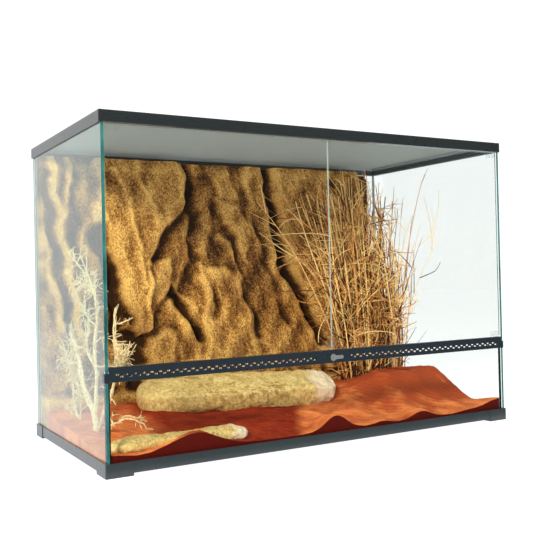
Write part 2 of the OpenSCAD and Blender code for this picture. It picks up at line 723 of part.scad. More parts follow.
// Height, softness of the edge, tilt to the right, outline
boulders = [for (form = [
    [22, 8, 0.05, [[12.6, 102.1], [36.4, 102.1], [37.1, 85.3], [29.1, 70.2], [25.1, 57.8],
         [24.6, 34], [19.7, 34.8], [18.3, 56], [13.6, 72.9]]],
    [15, 8, -0.1, [[25.3, 59.9], [31.7, 62.8], [33.2, 58.2], [31.4, 50], [27.8, 42.9],
         [24.9, 35.1]]],
    [17, 9, -0.12, [[24.4, 13.5], [25.1, 34], [32.6, 34.8], [33.3, 13.5]]],
    [14, 9, 0, [[10.9, 13.5], [12.6, 31.6], [20.4, 30.5], [21, 13.5]]],
    [15, 9, -0.15, [[45.3, 86.5], [52.2, 83.7], [55.9, 74.3], [54.6, 61.3], [50.6, 68.4],
         [47.3, 77.5]]],
    [12, 10, -0.05, [[41.1, 59.9], [51.7, 56], [56.2, 39.4], [59.7, 13.5], [41.6, 13.5]]],
    [10, 8, -0.05, [[53.3, 102.1], [63.2, 102.1], [62.3, 82.6], [64.6, 68.4], [63.2, 56],
         [56.2, 68.4]]],
    [21, 7, -0.04, [[61.8, 102.1], [61.6, 88.8], [66.3, 76.6], [67.2, 61.7], [72.2, 48.9],
         [77.6, 33], [79.7, 13.5], [93.8, 13.5], [93.8, 102.1]]]]) placed(form)];
// Width, depth, route
crevices = [for (form = [
    [13, 36, [[35.9, 102.1], [37.7, 91.1], [39, 77.3], [39.4, 66.3], [38, 54.3], [35.4, 48.9]]],
    [11, 30, [[32, 49.3], [35, 44], [37.8, 39.4], [39.9, 30.9]]],
    [18, 32, [[12.6, 72.9], [15.4, 64.5], [16.3, 54.3], [17, 44], [18, 33.7], [23.2, 31.2]]],
    [20, 24, [[22.5, 32.3], [22, 13.5]]],
    [11, 44, [[61.3, 102.1], [62.3, 86.2], [64.6, 72.9], [65.9, 61.7], [70.9, 49.6], [75.1, 39.4],
         [79.1, 25.9]]],
    [12, 18, [[7.4, 93.3], [8.1, 68.4], [10, 56]]],
    [11, 18, [[0.6, 94.1], [2, 68.4]]],
    [11, 16, [[3, 64.9], [5.8, 40.1], [6.7, 25.9]]]]) placed(form)];
// Width, height, route
ridges = [for (form = [
    [11, 22, [[1.8, 102.1], [3.4, 78.7], [6, 56.2], [8.7, 33]]],
    [9, 14, [[6.3, 102.1], [5.9, 86], [4.4, 78]]],
    [10, 16, [[-0.3, 73.8], [0.7, 59.9], [4.4, 38.3]]]]) placed(form)];
function total(v) = v * [for (a = v) 1];
function crossings(p, ring) = len([for (k = [0 : len(ring) - 1])
    let (a = ring[k], b = ring[(k + 1) % len(ring)])
    if ((a[1] > p[1]) != (b[1] > p[1])
        && p[0] < (b[0] - a[0]) * (p[1] - a[1]) / (b[1] - a[1]) + a[0]) k]);
function inside_by(p, ring) =
    (crossings(p, ring) % 2 == 1 ? 1 : -1) * line_dist(p, concat(ring, [ring[0]]));
function boulder_at(p, b) =
    let (middle = total([for (q = b[3]) q[0]]) / len(b[3]))
    smooth(-b[1], b[1], inside_by(p, b[3])) * (b[0] + b[2] * (p[0] - middle));
function rock_relief(x, z) =
    let (
        p = [x + 4 * sin(4.1 * z + 1.3 * x) + 2 * sin(11 * z - 5 * x + 70),
            z + 4 * sin(3.7 * x - 1.1 * z + 20) + 2 * sin(10 * x + 4 * z)],
        roll = 5 * sin(2.3 * x + 40) * sin(1.9 * z + 20) + 2.5 * sin(5.1 * x - 3.3 * z),
        high = total([for (b = boulders) boulder_at(p, b)])
            + total([for (r = ridges) r[1] * bump(line_dist(p, r[2]), 0, r[0])]),
        cut = max([for (c = crevices) c[1] * bump(line_dist(p, c[2]), 0, c[0])]),
        raw = min(rock_depth, max(rock_skin, rock_mean + roll + high - cut)),
        end = smooth(rock_x1 - 66, rock_x1 - 36, x),
        round_top = 8 * smooth(rock_top - 24, rock_top, z),
        toe = smooth(rock_toe_z, rock_toe_z + 22, z))
    rock_toe * (1 - toe) + (raw * (1 - end) + (rock_skin - 3) * end - round_top) * toe;
module rock_wall() {
    nu = rock_nu;
    nv = rock_nv;
    function px(i) = rock_x0 + (rock_x1 - rock_x0) * i / (nu - 1);
    function pz(j) = j == 0 ? floor_z
        : rock_toe_z + (rock_top - rock_toe_z) * (j - 1) / (nv - 2);
    top = [for (i = [0 : nu - 1], j = [0 : nv - 1])
        [px(i), in_y - rock_relief(px(i), pz(j)), pz(j)]];
    foot = [for (k = ring_ids(nu, nv)) [top[k][0], in_y, top[k][2]]];
    color([0.62, 0.45, 0.24])
        surface_solid(top, foot, [0, in_y, (floor_z + rock_top) / 2], nu, nv);
}

// Sand: humps against the front pane, a slope to the back and one big dune at the right
function sand_height(x, y) =
    let (
        u = (x + in_x) / (2 * in_x),
        near = 1 - smooth(0, 90, y - front_in_y),
        back = (y - front_in_y) / (in_y - front_in_y),
        humps = 27 * bump(u, 0.173, 0.075) + 21 * bump(u, 0.509, 0.042)
            + 12 * bump(u, 0.745, 0.035) + 20 * bump(u, 1, 0.07) + 9 * bump(u, 0, 0.05),
        crest_y = front_in_y + 0.5 * (in_y - front_in_y) + 22 * sin(300 * u + 60),
        fall = y > crest_y ? 120 : 86,
        dune = dune_h * bump(y, crest_y, fall) * smooth(0.52, 0.86, u),
        ripple = 3 * sin(900 * u + 60 * sin(400 * back)) * (1 - near))
    sand_front + humps * near + sand_rise * smooth(0, 0.9, back) + dune + ripple + 4 * (1 - near);
module sand_bed() {
    nu = sand_nu;
    nv = sand_nv;
    clear = 0.3;
    y0 = front_in_y + clear;
    // The front corners keep clear of the beads, and the back follows the rock wall's toe
    function half(y) = in_x - clear - max(0, bead - (y - front_in_y));
    function back(x) = x > rock_x1 + clear ? in_y - bead - clear : rock_toe_y;
    xs = concat(
        [for (i = [0 : nu - 3]) -1 + (rock_x1 + clear + in_x) / in_x * i / (nu - 3)],
        [(rock_x1 + 2 * clear) / in_x, 1]);
    ys = concat([0], [for (j = [0 : nv - 2]) (bead + (in_y - bead - y0) * j / (nv - 2)) / (in_y - y0)]);
    top = [for (i = [0 : nu - 1], j = [0 : nv - 1])
        let (
            yb = back(xs[i] * in_x),
            y = j == 0 ? y0 : y0 + bead + (yb - y0 - bead) * (j - 1) / (nv - 2),
            x = max(-half(y), min(half(y), xs[i] * in_x)))
        [x, y, sand_height(x, y)]];
    foot = [for (k = ring_ids(nu, nv)) [top[k][0], top[k][1], floor_z]];
    hub = [(rock_x1 + in_x) / 2, rock_toe_y - 50, floor_z];
    color([0.78, 0.33, 0.16]) surface_solid(top, foot, hub, nu, nv);
}

// Stones: lofts of squared oval sections along a line. The top slopes down to a front edge by the
// share "slope", the front face draws in below that edge, and the ends are rounded and crooked.
function stone_ring(c, dir, w, h, m, bend, slope) = [for (j = [0 : m - 1])
    let (
        a = 360 * j / m,
        lump = 1 + bend * sin(3 * a + c[0]) + bend * sin(2 * a - c[1]),
        u = sign(cos(a)) * pow(abs(cos(a)), 0.75 - 0.5 * slope),
        v = sign(sin(a)) * pow(abs(sin(a)), 0.75 - 0.5 * slope),
        sx = (u < 0 && v < 0 ? u * (1 + 0.6 * slope * v) : u) * w / 2 * lump,
        sz = (v > 0 ? v * (1 - slope + slope * u) : v) * h / 2 * lump)
    [c[0] - dir[1] * sx, c[1] + dir[0] * sx, c[2] + sz]];
module stone(a, b, w, h, n, m, blunt, bend, slope) {
    dir = [b[0] - a[0], b[1] - a[1]] / norm([b[0] - a[0], b[1] - a[1]]);
    rings = [for (k = [0 : n - 1])
        let (
            t = k / (n - 1),
            s = pow(1 - pow(abs(2 * t - 1), blunt), 0.5),
            grow = 0.12 + 0.88 * s)
        stone_ring(a + t * (b - a), dir, w * grow, h * grow, m, bend, slope)];
    ring_solid(rings, m);
}
module stone_ledge() {
    mid = [-70, 36, floor_z + 24 + ledge_stone_h / 2];
    turn = -15;
    half = ledge_stone_len / 2 * [cos(turn), sin(turn), 0];
    color([0.83, 0.72, 0.42])
        stone(mid - half, mid + half, ledge_stone_w, ledge_stone_h, 22, 16, 10, 0.04, 0.42);
}
module flat_stone() {
    mid = [-in_x + 12 + flat_stone_len / 2, front_in_y + 12 + flat_stone_w / 2, floor_z + flat_stone_h / 2 + 8];
    half = flat_stone_len / 2 * [1, 0, 0];
    color([0.72, 0.6, 0.36])
        stone(mid - half, mid + half, flat_stone_w, flat_stone_h, 16, 12, 5, 0.06, 0.1);
}

// Root branches: crooked routes from one foot in the sand, with short antler-like ends all along.
// Each route holds its thick and its thin end in shares of root_r, then points in shares of the
// branches' height, measured from the foot to the right, back and up.
root_routes = [
    [1.1, 0.6, [0, 0, -5], [0, 2, 15], [-1, 18, 24], [0, 28, 35], [-1, 32, 47], [-3, 35, 59]],
    [0.6, 0.3, [0, 28, 34], [2, 42, 34], [5, 52, 30]],
    [0.5, 0.25, [-1, 30, 42], [-3, 44, 41], [-4, 52, 45]],
    [0.4, 0.2, [2, 42, 34], [4, 48, 24], [3, 51, 8]],
    [0.7, 0.3, [0, 0, 0], [0, 25, 3], [1, 46, 6], [0, 49, 30], [1, 52, 50], [1, 53, 61]],
    [0.9, 0.3, [0, 2, 12], [0, -2, 34], [-1, -2, 56], [1, -5, 78], [-1, 1, 92], [0, 12, 98], [1, 24, 99]],
    [0.4, 0.2, [0, -3, 84], [2, 13, 90], [0, 30, 92]],
    [0.4, 0.2, [0, -4, 66], [-1, 11, 71], [0, 23, 79]],
    [0.5, 0.2, [1, -2, 37], [-1, 12, 50], [1, 19, 58]],
    [0.9, 0.3, [0, 0, 2], [-2, -21, 18], [-1, -38, 44], [-2, -35, 63], [-1, -37, 78]],
    [0.4, 0.2, [-2, -35, 60], [-3, -46, 58], [-2, -50, 50]],
    [0.4, 0.2, [-1, -31, 34], [-2, -43, 48], [-1, -52, 49]]];
function unit(v) = v / norm(v);
function root_foot() = [root_from_side - in_x, front_in_y + root_from_front, floor_z + root_bed];
function root_line(route) = [for (k = [2 : len(route) - 1]) root_foot() + root_len / 100 * route[k]];
module stem(line, r0, r1, sides) {
    n = len(line);
    ring_solid([for (k = [0 : n - 1])
        let (
            ahead = unit(line[min(k + 1, n - 1)] - line[max(k - 1, 0)]),
            side = unit(cross(ahead, [0.31, 0.22, 0.13])),
            over = cross(ahead, side),
            r = r0 + (r1 - r0) * k / (n - 1))
        [for (j = [0 : sides - 1])
            line[k] + r * (cos(360 * j / sides) * side + sin(360 * j / sides) * over)]], sides);
}
// Short ends: each leaves its route at a slant, on alternate sides, and bows upwards
module root_end(line, k, r) {
    s = (0.3 + 0.62 * (0.5 + 0.5 * sin(137.5 * k))) * (len(line) - 1);
    i = min(floor(s), len(line) - 2);
    p = line[i] + (s - i) * (line[i + 1] - line[i]);
    way = unit(unit(line[i + 1] - line[i])
        + [-0.3 * abs(sin(71 * k)), k % 2 == 0 ? -0.9 : 0.9, 0.5 * cos(97 * k)]);
    e = p + root_end_len * (0.7 + 0.3 * sin(53 * k)) * way;
    q = [min(root_band - in_x, max(5 - in_x, e[0])),
        min(rock_toe_y - root_end_len, max(front_in_y + 6, e[1])), min(root_foot()[2] + root_len, e[2])];
    stem([p, (p + q) / 2 + [0, 0, -0.1 * root_end_len], q], r, 0.5 * r, 3);
}
module root_branches() {
    color([0.88, 0.8, 0.66])
    union() for (n = [0 : len(root_routes) - 1]) {
        route = root_routes[n];
        line = root_line(route);
        stem(line, root_r * route[0], root_r * route[1], 5);
        for (k = [1 : 3]) root_end(line, 3 * n + k, root_r * (0.6 * route[1] + 0.1));
    }
}

// Dry twigs: a dense brush on a knobbly foot, fanning to the left behind and forward at the right
twig_foot = [in_x - twig_from_side, rock_toe_y - twig_from_rock, floor_z + twig_bed];
function twig_axis(i, t) =
    let (
        a = 137.508 * i,
        s = sqrt((i + 0.5) / twig_n),
        u = s * cos(a),
        v = s * sin(a),
        base = twig_foot + [twig_foot_w / 2 * u, twig_foot_d / 2 * v, 0],
        lift = twig_h * (0.84 + 0.16 * sin(83 * i)) * (1 - 0.1 * abs(u)),
        reach_x = u < 0 ? 190 * u : 12 * u - 6,
        reach_y = u > 0.35 ? -95 * (u - 0.35) - 20 : -14,
        wave = 5 * sin(200 * t + 67 * i) * t)
    base + [reach_x * pow(t, 1.4) + wave, reach_y * pow(t, 1.3) + 0.3 * wave,
        lift * t * (1 - 0.1 * t * s)];
module tube(axis, radii, sides, spin) {
    ring_solid([for (k = [0 : len(axis) - 1])
        [for (j = [0 : sides - 1])
            axis[k] + radii[k] * [cos(360 * j / sides + spin), sin(360 * j / sides + spin), 0]]], sides);
}
module twig(i) {
    ts = [0, 0.25, 0.5, 0.75, 1];
    tube([for (t = ts) twig_axis(i, t)], [for (t = ts) twig_r * (1 - 0.72 * t)], 4, 31 * i);
}
// A side shoot leaves its twig at a slant and bows upwards. It keeps clear of the glass, the rock
// and the free space in front.
function shoot_end(k, p) =
    let (
        a = 137.508 * k,
        q = p + shoot_len * (0.75 + 0.25 * sin(53 * k)) * [0.62 * cos(a), 0.5 * sin(a), 0.7])
    [min(in_x - 8, max(twig_foot[0] - shoot_left, q[0])),
        min(in_y - rock_depth - 6, max(twig_foot[1] - shoot_front, q[1])), min(rock_top - 8, q[2])];
module shoot(k) {
    p = twig_axis((7 * k + 3) % twig_n, 0.24 + 0.52 * (0.5 + 0.5 * sin(97 * k)));
    q = shoot_end(k, p);
    tube([p, (p + q) / 2 + [0, 0, -6], q], [shoot_r, 0.8 * shoot_r, 0.5 * shoot_r], 3, 40 * k);
}
module twig_bundle() {
    color([0.66, 0.48, 0.28])
    union() {
        for (i = [0 : twig_n - 1]) twig(i);
        for (k = [0 : shoot_n - 1]) shoot(k);
        for (k = [0 : 7]) hull() {
            translate(twig_foot) sphere(11, $fn = 6);
            for (a = [45 * k, 45 * k + 45])
                translate(twig_foot + 0.5 * [twig_foot_w * cos(a), twig_foot_d * sin(a), 8])
                    sphere(8, $fn = 6);
        }
    }
}

base_rail_front();
base_rail_back();
base_rail_left();
base_rail_right();
foot_front_left();
foot_front_right();
foot_back_left();
foot_back_right();
floor_pane();
side_pane_left();
side_pane_right();
back_pane();
front_lower_pane();
seal_floor();
seal_front_left();
seal_front_right();
seal_rear_left();
seal_rear_right();
vent_strip();
strip_cap_left();
strip_cap_right();
top_rail_front();
top_rail_back();
top_rail_left();
top_rail_right();
rim_corner_front_left();
rim_corner_front_right();
rim_corner_back_left();
rim_corner_back_right();
door_stop();
door_glass_left();
shoe_left_lower();
shoe_left_upper();
door_catch_left();
door_glass_right();
shoe_right_lower();
shoe_right_upper();
door_catch_right();
cover_rail_front();
cover_rail_back();
cover_rail_left();
cover_rail_right();
cover_mesh();
cover_spline();
latch_lever();
latch_shaft();
latch_cam();
latch_screw();
rock_wall();
sand_bed();
stone_ledge();
flat_stone();
root_branches();
twig_bundle();
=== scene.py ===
import bpy
import numpy as np
from mathutils import Matrix, Vector


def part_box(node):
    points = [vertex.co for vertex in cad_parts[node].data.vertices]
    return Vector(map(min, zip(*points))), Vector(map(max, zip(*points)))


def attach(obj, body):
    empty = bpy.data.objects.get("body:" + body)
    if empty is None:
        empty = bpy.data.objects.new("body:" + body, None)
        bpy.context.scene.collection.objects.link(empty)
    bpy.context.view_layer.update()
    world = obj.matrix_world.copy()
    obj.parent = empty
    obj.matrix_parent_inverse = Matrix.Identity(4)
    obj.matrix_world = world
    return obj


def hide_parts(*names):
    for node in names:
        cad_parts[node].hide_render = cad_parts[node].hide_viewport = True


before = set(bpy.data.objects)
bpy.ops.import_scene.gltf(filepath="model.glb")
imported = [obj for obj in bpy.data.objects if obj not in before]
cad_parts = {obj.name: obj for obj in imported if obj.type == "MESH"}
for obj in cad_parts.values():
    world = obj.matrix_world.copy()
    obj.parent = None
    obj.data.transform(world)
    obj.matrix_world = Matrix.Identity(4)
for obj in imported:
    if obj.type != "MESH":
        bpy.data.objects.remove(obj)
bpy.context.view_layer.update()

stage = bpy.context.scene
stage.view_settings.view_transform = "Standard"
stage.view_settings.look = "None"
stage.cycles.transparent_max_bounces = 40
stage.cycles.max_bounces = 16
stage.cycles.transmission_bounces = 12
stage.cycles.sample_clamp_indirect = 4.0

# Camera: level with the middle of the case, in front of its left end, turned 30 degrees to the
# right, so that the left pane and the whole front show.
lens = bpy.data.cameras.new("camera")
lens.lens, lens.sensor_width = 54.1, 36.0
lens.shift_x, lens.shift_y = -0.0008, 0.0011
camera = bpy.data.objects.new("camera", lens)
heading, rise, lean = np.radians([29.916, 0.5455, -1.281])
camera.matrix_world = (
    Matrix.Translation((-0.86369, -1.47939, 0.32493)) @ Matrix.Rotation(-heading, 4, "Z")
    @ Matrix.Rotation(np.pi / 2 + rise, 4, "X") @ Matrix.Rotation(lean, 4, "Z"))
stage.collection.objects.link(camera)
stage.camera = camera


# Studio: a white room with dark flags in front, so that the front glass mirrors nothing bright, a
# warm panel high at the front left that models the rock and the sand, a weaker one at the right,
# one above and one behind. The left pane mirrors the white of the room.
def add(tree, kind, settings=None, feeds=None):
    """Adds a shader node to a tree, sets its options, and gives each input a value or a link."""
    made = tree.nodes.new("ShaderNode" + kind)
    for option, value in (settings or {}).items():
        setattr(made, option, value)
    for socket, value in (feeds or {}).items():
        if isinstance(value, bpy.types.NodeSocket):
            tree.links.new(value, made.inputs[socket])
        else:
            made.inputs[socket].default_value = value
    return made


def spots(tree, output="Object"):
    """The place on the piece in metres, or the direction that the output's name gives."""
    return add(tree, "TexCoord").outputs[output]


def axis_of(tree, letter, output="Object"):
    """The X, Y or Z part of the place, or of what else the output's name gives."""
    return add(tree, "SeparateXYZ", feeds={0: spots(tree, output)}).outputs[letter]


def maths(tree, operation, *values):
    """One step of arithmetic on numbers."""
    return add(tree, "Math", {"operation": operation}, dict(enumerate(values))).outputs[0]


def remap(tree, value, low, high, new_low=0.0, new_high=1.0):
    """A value between low and high becomes one between new_low and new_high."""
    return add(tree, "MapRange", feeds={
        "Value": value, "From Min": low, "From Max": high, "To Min": new_low, "To Max": new_high}).outputs[0]


def either(tree, share, first, second):
    """The first shader, and by the given share the second one."""
    return add(tree, "MixShader", feeds={0: share, 1: first, 2: second}).outputs[0]


room = bpy.data.worlds.new("white_room")
room.use_nodes = True
stage.world = room
tree = room.node_tree
tree.nodes.clear()
rays = add(tree, "LightPath").outputs
flagged = remap(tree, axis_of(tree, "Y", "Generated"), -0.15, 0.35, 0.04, 0.98)
soft, plain, mirrored = [
    add(tree, "Background", feeds={"Color": (*tint, 1), "Strength": strength}).outputs[0]
    for tint, strength in (((0.93, 0.96, 1.0), 0.34), ((1, 1, 1), 1.16), ((1, 1, 1), flagged))]
both = either(tree, maths(tree, "MINIMUM", rays["Glossy Depth"], 1.0), plain, mirrored)
both = either(tree, rays["Is Diffuse Ray"], both, soft)
add(tree, "OutputWorld", feeds={"Surface": both})


def light_panel(name, centre, target, size, power, colour):
    """A square soft light at centre that faces target. Glass neither mirrors nor shows it."""
    data = bpy.data.lights.new(name, "AREA")
    data.shape, data.size, data.energy, data.color = "SQUARE", size, power, colour
    panel = bpy.data.objects.new(name, data)
    panel.location = centre
    panel.rotation_euler = (Vector(target) - Vector(centre)).to_track_quat("-Z", "Y").to_euler()
    panel.visible_glossy = panel.visible_transmission = False
    stage.collection.objects.link(panel)


light_panel("key_light", (-3.5, -2.95, 2.3), (0.05, 0.1, 0.25), 0.8, 265, (1.0, 0.92, 0.80))
light_panel("fill_light", (1.8, -2.9, 1.2), (0.0, 0.0, 0.3), 1.6, 22, (0.95, 0.97, 1.0))
light_panel("back_light", (-1.9, 3.4, 0.9), (-0.45, 0.0, 0.35), 3.2, 26, (0.97, 0.99, 1.0))
light_panel("top_light", (0.2, 0.3, 2.6), (0.0, 0.0, 0.3), 1.6, 26, (1.0, 0.98, 0.95))


# Floor: one pale sheet that glows as white as the room. Glass mirrors it a little darker and
# bluer, and in front of the case glass mirrors a dark flag in its place.
def put_mesh(name, points, faces, body, replaced=(), marks=None):
    """Puts points and faces into a new piece, whole arrays at a time.

    Each array in faces holds one face in a row, as the numbers of its corners. Edges that turn
    by more than 50 degrees stay sharp, and the rest are shaded smooth. Marks are values for each
    point that the material reads by name."""
    points = points.reshape(-1, 3)
    corners = np.concatenate([f.ravel() for f in faces])
    counts = np.concatenate([np.full(len(f), f.shape[1]) for f in faces])
    mesh = bpy.data.meshes.new(name)
    mesh.vertices.add(len(points))
    mesh.vertices.foreach_set("co", points.ravel())
    mesh.loops.add(len(corners))
    mesh.loops.foreach_set("vertex_index", corners.astype(np.int32))
    mesh.polygons.add(len(counts))
    mesh.polygons.foreach_set("loop_start", (np.cumsum(counts) - counts).astype(np.int32))
    mesh.polygons.foreach_set("use_smooth", np.ones(len(counts), bool))
    for label, values in (marks or {}).items():
        mesh.attributes.new(label, "FLOAT", "POINT").data.foreach_set("value", values.ravel())
    mesh.update(calc_edges=True)
    mesh.set_sharp_from_angle(angle=np.radians(50))
    piece = bpy.data.objects.new(name, mesh)
    stage.collection.objects.link(piece)
    if body is None:
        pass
    else:
        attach(piece, body)
    if replaced:
        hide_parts(*replaced)
    return piece


def new_finish(name, **sockets):
    """A new material with one Principled shader, whose sockets take the plain values given. A
    socket's name has _ for each space, here and in feed."""
    mat = bpy.data.materials.new(name)
    mat.use_nodes = True
    shader = mat.node_tree.nodes["Principled BSDF"]
    for socket, value in sockets.items():
        shader.inputs[socket.replace("_", " ")].default_value = value
    return mat, mat.node_tree, shader


def feed(tree, node, **links):
    """Links results of the tree to the sockets of a shader or of a group's output."""
    for socket, result in links.items():
        tree.links.new(result, node.inputs[socket.replace("_", " ")])


def surface(tree, result):
    """Makes a shader the one that the material shows."""
    feed(tree, tree.nodes["Material Output"], Surface=result)


def blend(tree, share, first, second, way="MIX"):
    """The first colour, and by the given share the second one mixed or multiplied with it. A
    colour is three numbers or a link."""
    first, second = [(*c, 1) if isinstance(c, tuple) else c for c in (first, second)]
    return add(tree, "Mix", {"data_type": "RGBA", "blend_type": way},
               {0: share, 6: first, 7: second}).outputs[2]


floor = put_mesh("floor", 9.0 * np.array([[-1, -1, 0], [1, -1, 0], [1, 1, 0], [-1, 1, 0]]),
                 [np.array([[0, 1, 2, 3]])], None)
mat, tree, shader = new_finish("pale_floor", Roughness=0.9, Emission_Strength=1.0)
cloudy = add(tree, "TexNoise", feeds={"Scale": 3.0, "Detail": 2.0}).outputs[0]
mirrors = add(tree, "LightPath").outputs["Glossy Depth"]
feed(tree, shader, Base_Color=blend(tree, cloudy, (0.30, 0.30, 0.30), (0.34, 0.34, 0.34)),
     Emission_Color=blend(tree, mirrors, (1, 1, 1), (0.70, 0.74, 0.79)))
front = maths(tree, "LESS_THAN", axis_of(tree, "Y"), -0.26)
flag = add(tree, "BsdfDiffuse", feeds={"Color": (0.03, 0.03, 0.03, 1)}).outputs[0]
surface(tree, either(tree, maths(tree, "MINIMUM", mirrors, front), shader.outputs[0], flag))
floor.data.materials.append(mat)


# Base: four extruded rails of charcoal plastic with a shelf that carries the panes, pushed into
# four moulded corner feet. The skin is satin with a fine moulded grain and small sink marks.
def effect(name, inputs, outputs):
    """Starts a shared node group. Inputs and outputs are names with their kind of socket."""
    group = bpy.data.node_groups.new(name, "ShaderNodeTree")
    for way, sockets in (("INPUT", inputs), ("OUTPUT", outputs)):
        for label, kind in sockets.items():
            group.interface.new_socket(label, in_out=way, socket_type="NodeSocket" + kind)
    return group, group.nodes.new("NodeGroupInput").outputs, group.nodes.new("NodeGroupOutput")


def noise(tree, scale, detail, rough=0.5, where=None):
    """A random pattern from 0 to 1, with scale waves to the metre."""
    return add(tree, "TexNoise", feeds={
        "Vector": where or spots(tree), "Scale": scale, "Detail": detail, "Roughness": rough}).outputs[0]


def raised(tree, height, strength, distance):
    """The normal of a surface that a height pattern raises by up to the distance in metres."""
    return add(tree, "Bump", feeds={
        "Strength": strength, "Distance": distance, "Height": height}).outputs[0]


def vectors(tree, operation, *values):
    """One step of arithmetic on vectors. A dot product comes out as a number."""
    made = add(tree, "VectorMath", {"operation": operation}, dict(enumerate(values)))
    return made.outputs["Value" if operation == "DOT_PRODUCT" else "Vector"]


plastic, given, gives = effect(
    "moulded_skin", {"Colour": "Color", "Gloss": "Float", "Grain": "Float"},
    {"Colour": "Color", "Roughness": "Float", "Height": "Float"})
flow = remap(plastic, noise(plastic, 14, 4), 0.3, 0.7, 0.92, 1.07)
dull = remap(plastic, noise(plastic, 60, 5), 0.3, 0.7, -0.03, 0.04)
grain = noise(plastic, 1400, 3, 0.6)
feed(plastic, gives, Colour=blend(plastic, 1.0, given["Colour"], flow, "MULTIPLY"),
     Roughness=maths(plastic, "ADD", given["Gloss"], dull),
     Height=maths(plastic, "MULTIPLY", grain, given["Grain"]))


def moulded_plastic(name, colour, gloss, grain=1.0, cut=None, inside=None):
    """Plastic with the moulded skin: grain as bump, and slow changes of tone and gloss. With a
    cut (height, half its width and colour), the walls of the slots in that band get that colour
    as a painted highlight. With a colour for the inside, the faces that look down or at the
    middle of the case get it as painted light that lifts their shade."""
    mat, tree, shader = new_finish(name, IOR=1.5, Coat_Weight=0.5, Coat_Roughness=0.3)
    skin = add(tree, "Group", {"node_tree": plastic}, {
        "Colour": (*colour, 1), "Gloss": gloss, "Grain": grain}).outputs
    tone = skin["Colour"]
    if cut:
        turned = maths(tree, "COMPARE", axis_of(tree, "Y", "Normal"), 0.0, 0.5)
        row = maths(tree, "COMPARE", axis_of(tree, "Z"), cut[0], cut[1])
        tone = blend(tree, maths(tree, "MULTIPLY", turned, row), tone, cut[2])
    if inside:
        outward = vectors(tree, "NORMALIZE", vectors(tree, "MULTIPLY", spots(tree), (1, 1, 0)))
        facing = vectors(tree, "DOT_PRODUCT", spots(tree, "Normal"),
                         vectors(tree, "ADD", outward, (0, 0, 1)))
        tone = blend(tree, maths(tree, "LESS_THAN", facing, -0.3), tone, inside)
    feed(tree, shader, Base_Color=tone, Roughness=skin["Roughness"],
         Normal=raised(tree, skin["Height"], 0.12, 0.0001))
    return mat


def coat(mat, *nodes):
    """Gives CAD nodes their material."""
    for name in nodes:
        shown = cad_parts[name]
        shown.data.materials.clear()
        shown.data.materials.append(mat)


sides = ["front", "back", "left", "right"]
corners = ["front_left", "front_right", "back_left", "back_right"]
coat(moulded_plastic("base_plastic", (0.024, 0.034, 0.039), 0.30), *["base_rail_" + s for s in sides])
coat(moulded_plastic("foot_plastic", (0.026, 0.035, 0.040), 0.32), *["foot_" + c for c in corners])


# Glass: five fixed panes of 5 mm float glass, cut and arrissed. The faces are all but clear and
# mirror the room at a flat angle. The cut edges are deep green, because light runs along the pane.
def ramp(tree, value, first, last, middle=None):
    """Colours along a value from 0 to 1. Each stop is its place and its colour."""
    made = add(tree, "ValToRGB", feeds={"Fac": value})
    stops = made.color_ramp.elements
    stops[0].position, stops[0].color = first[0], (*first[1], 1)
    stops[1].position, stops[1].color = last[0], (*last[1], 1)
    if middle:
        stops.new(middle[0]).color = (*middle[1], 1)
    return made.outputs[0]


def float_glass(name, face_axis, body=(0.955, 0.985, 0.975), seam=False):
    """Clear glass over the pane's faces and dark green, polished edges. The edge is wherever the
    surface doesn't face along face_axis. Shadow rays and soft light pass straight through. With
    a seam, the polished edges near the middle plane are pale."""
    mat, tree, shader = new_finish(
        name, Base_Color=(*body, 1), Roughness=0.0, IOR=1.5, Transmission_Weight=1.0)
    edge = add(tree, "BsdfPrincipled", feeds={"Roughness": 0.12, "IOR": 1.5})
    green = ramp(tree, noise(tree, 24, 4),
                 (0.32, (0.008, 0.070, 0.066)), (0.70, (0.045, 0.200, 0.190)))
    if seam:
        off = maths(tree, "ABSOLUTE", axis_of(tree, "X"))
        green = blend(tree, maths(tree, "LESS_THAN", off, 0.05), green, (0.36, 0.43, 0.39))
    feed(tree, edge, Base_Color=green)
    facing = maths(tree, "ABSOLUTE", vectors(tree, "DOT_PRODUCT", spots(tree, "Normal"), face_axis))
    pane = either(tree, maths(tree, "LESS_THAN", facing, 0.6), shader.outputs[0], edge.outputs[0])
    through = add(tree, "BsdfTransparent", feeds={"Color": (0.965, 0.977, 0.973, 1)})
    rays = add(tree, "LightPath").outputs
    unseen = maths(tree, "MAXIMUM", rays["Is Shadow Ray"], rays["Is Diffuse Ray"])
    surface(tree, either(tree, unseen, pane, through.outputs[0]))
    return mat


coat(float_glass("left_glass", (1, 0, 0), (0.80, 0.975, 0.93)), "side_pane_left")
coat(float_glass("right_glass", (1, 0, 0)), "side_pane_right")
coat(float_glass("front_glass", (0, 1, 0)), "back_pane", "front_lower_pane")
coat(float_glass("floor_glass", (0, 0, 1)), "floor_pane")


# Sealant: beads of black silicone at the floor and the front corners, and clear silicone in the
# rear corners, tooled with a finger, so the surface has a soft sheen and faint drag marks.
def stretched(tree, scale):
    """The place on the piece, with each axis times its own scale."""
    return add(tree, "Mapping", feeds={"Vector": spots(tree), "Scale": scale}).outputs[0]


def tooled_sealant(name, colour, rough, clear=0.0):
    """Rubbery silicone: drag marks that run up and down as bump, with a soft coat."""
    mat, tree, shader = new_finish(
        name, Roughness=rough, Coat_Weight=0.3, Coat_Roughness=0.25, Transmission_Weight=clear)
    drag = noise(tree, 1, 3, where=stretched(tree, (260, 260, 24)))
    dark, light = [tuple(min(1, share * c) for c in colour) for share in (0.8, 1.2)]
    feed(tree, shader, Base_Color=blend(tree, drag, dark, light), Normal=raised(tree, drag, 0.4, 0.0004))
    return mat


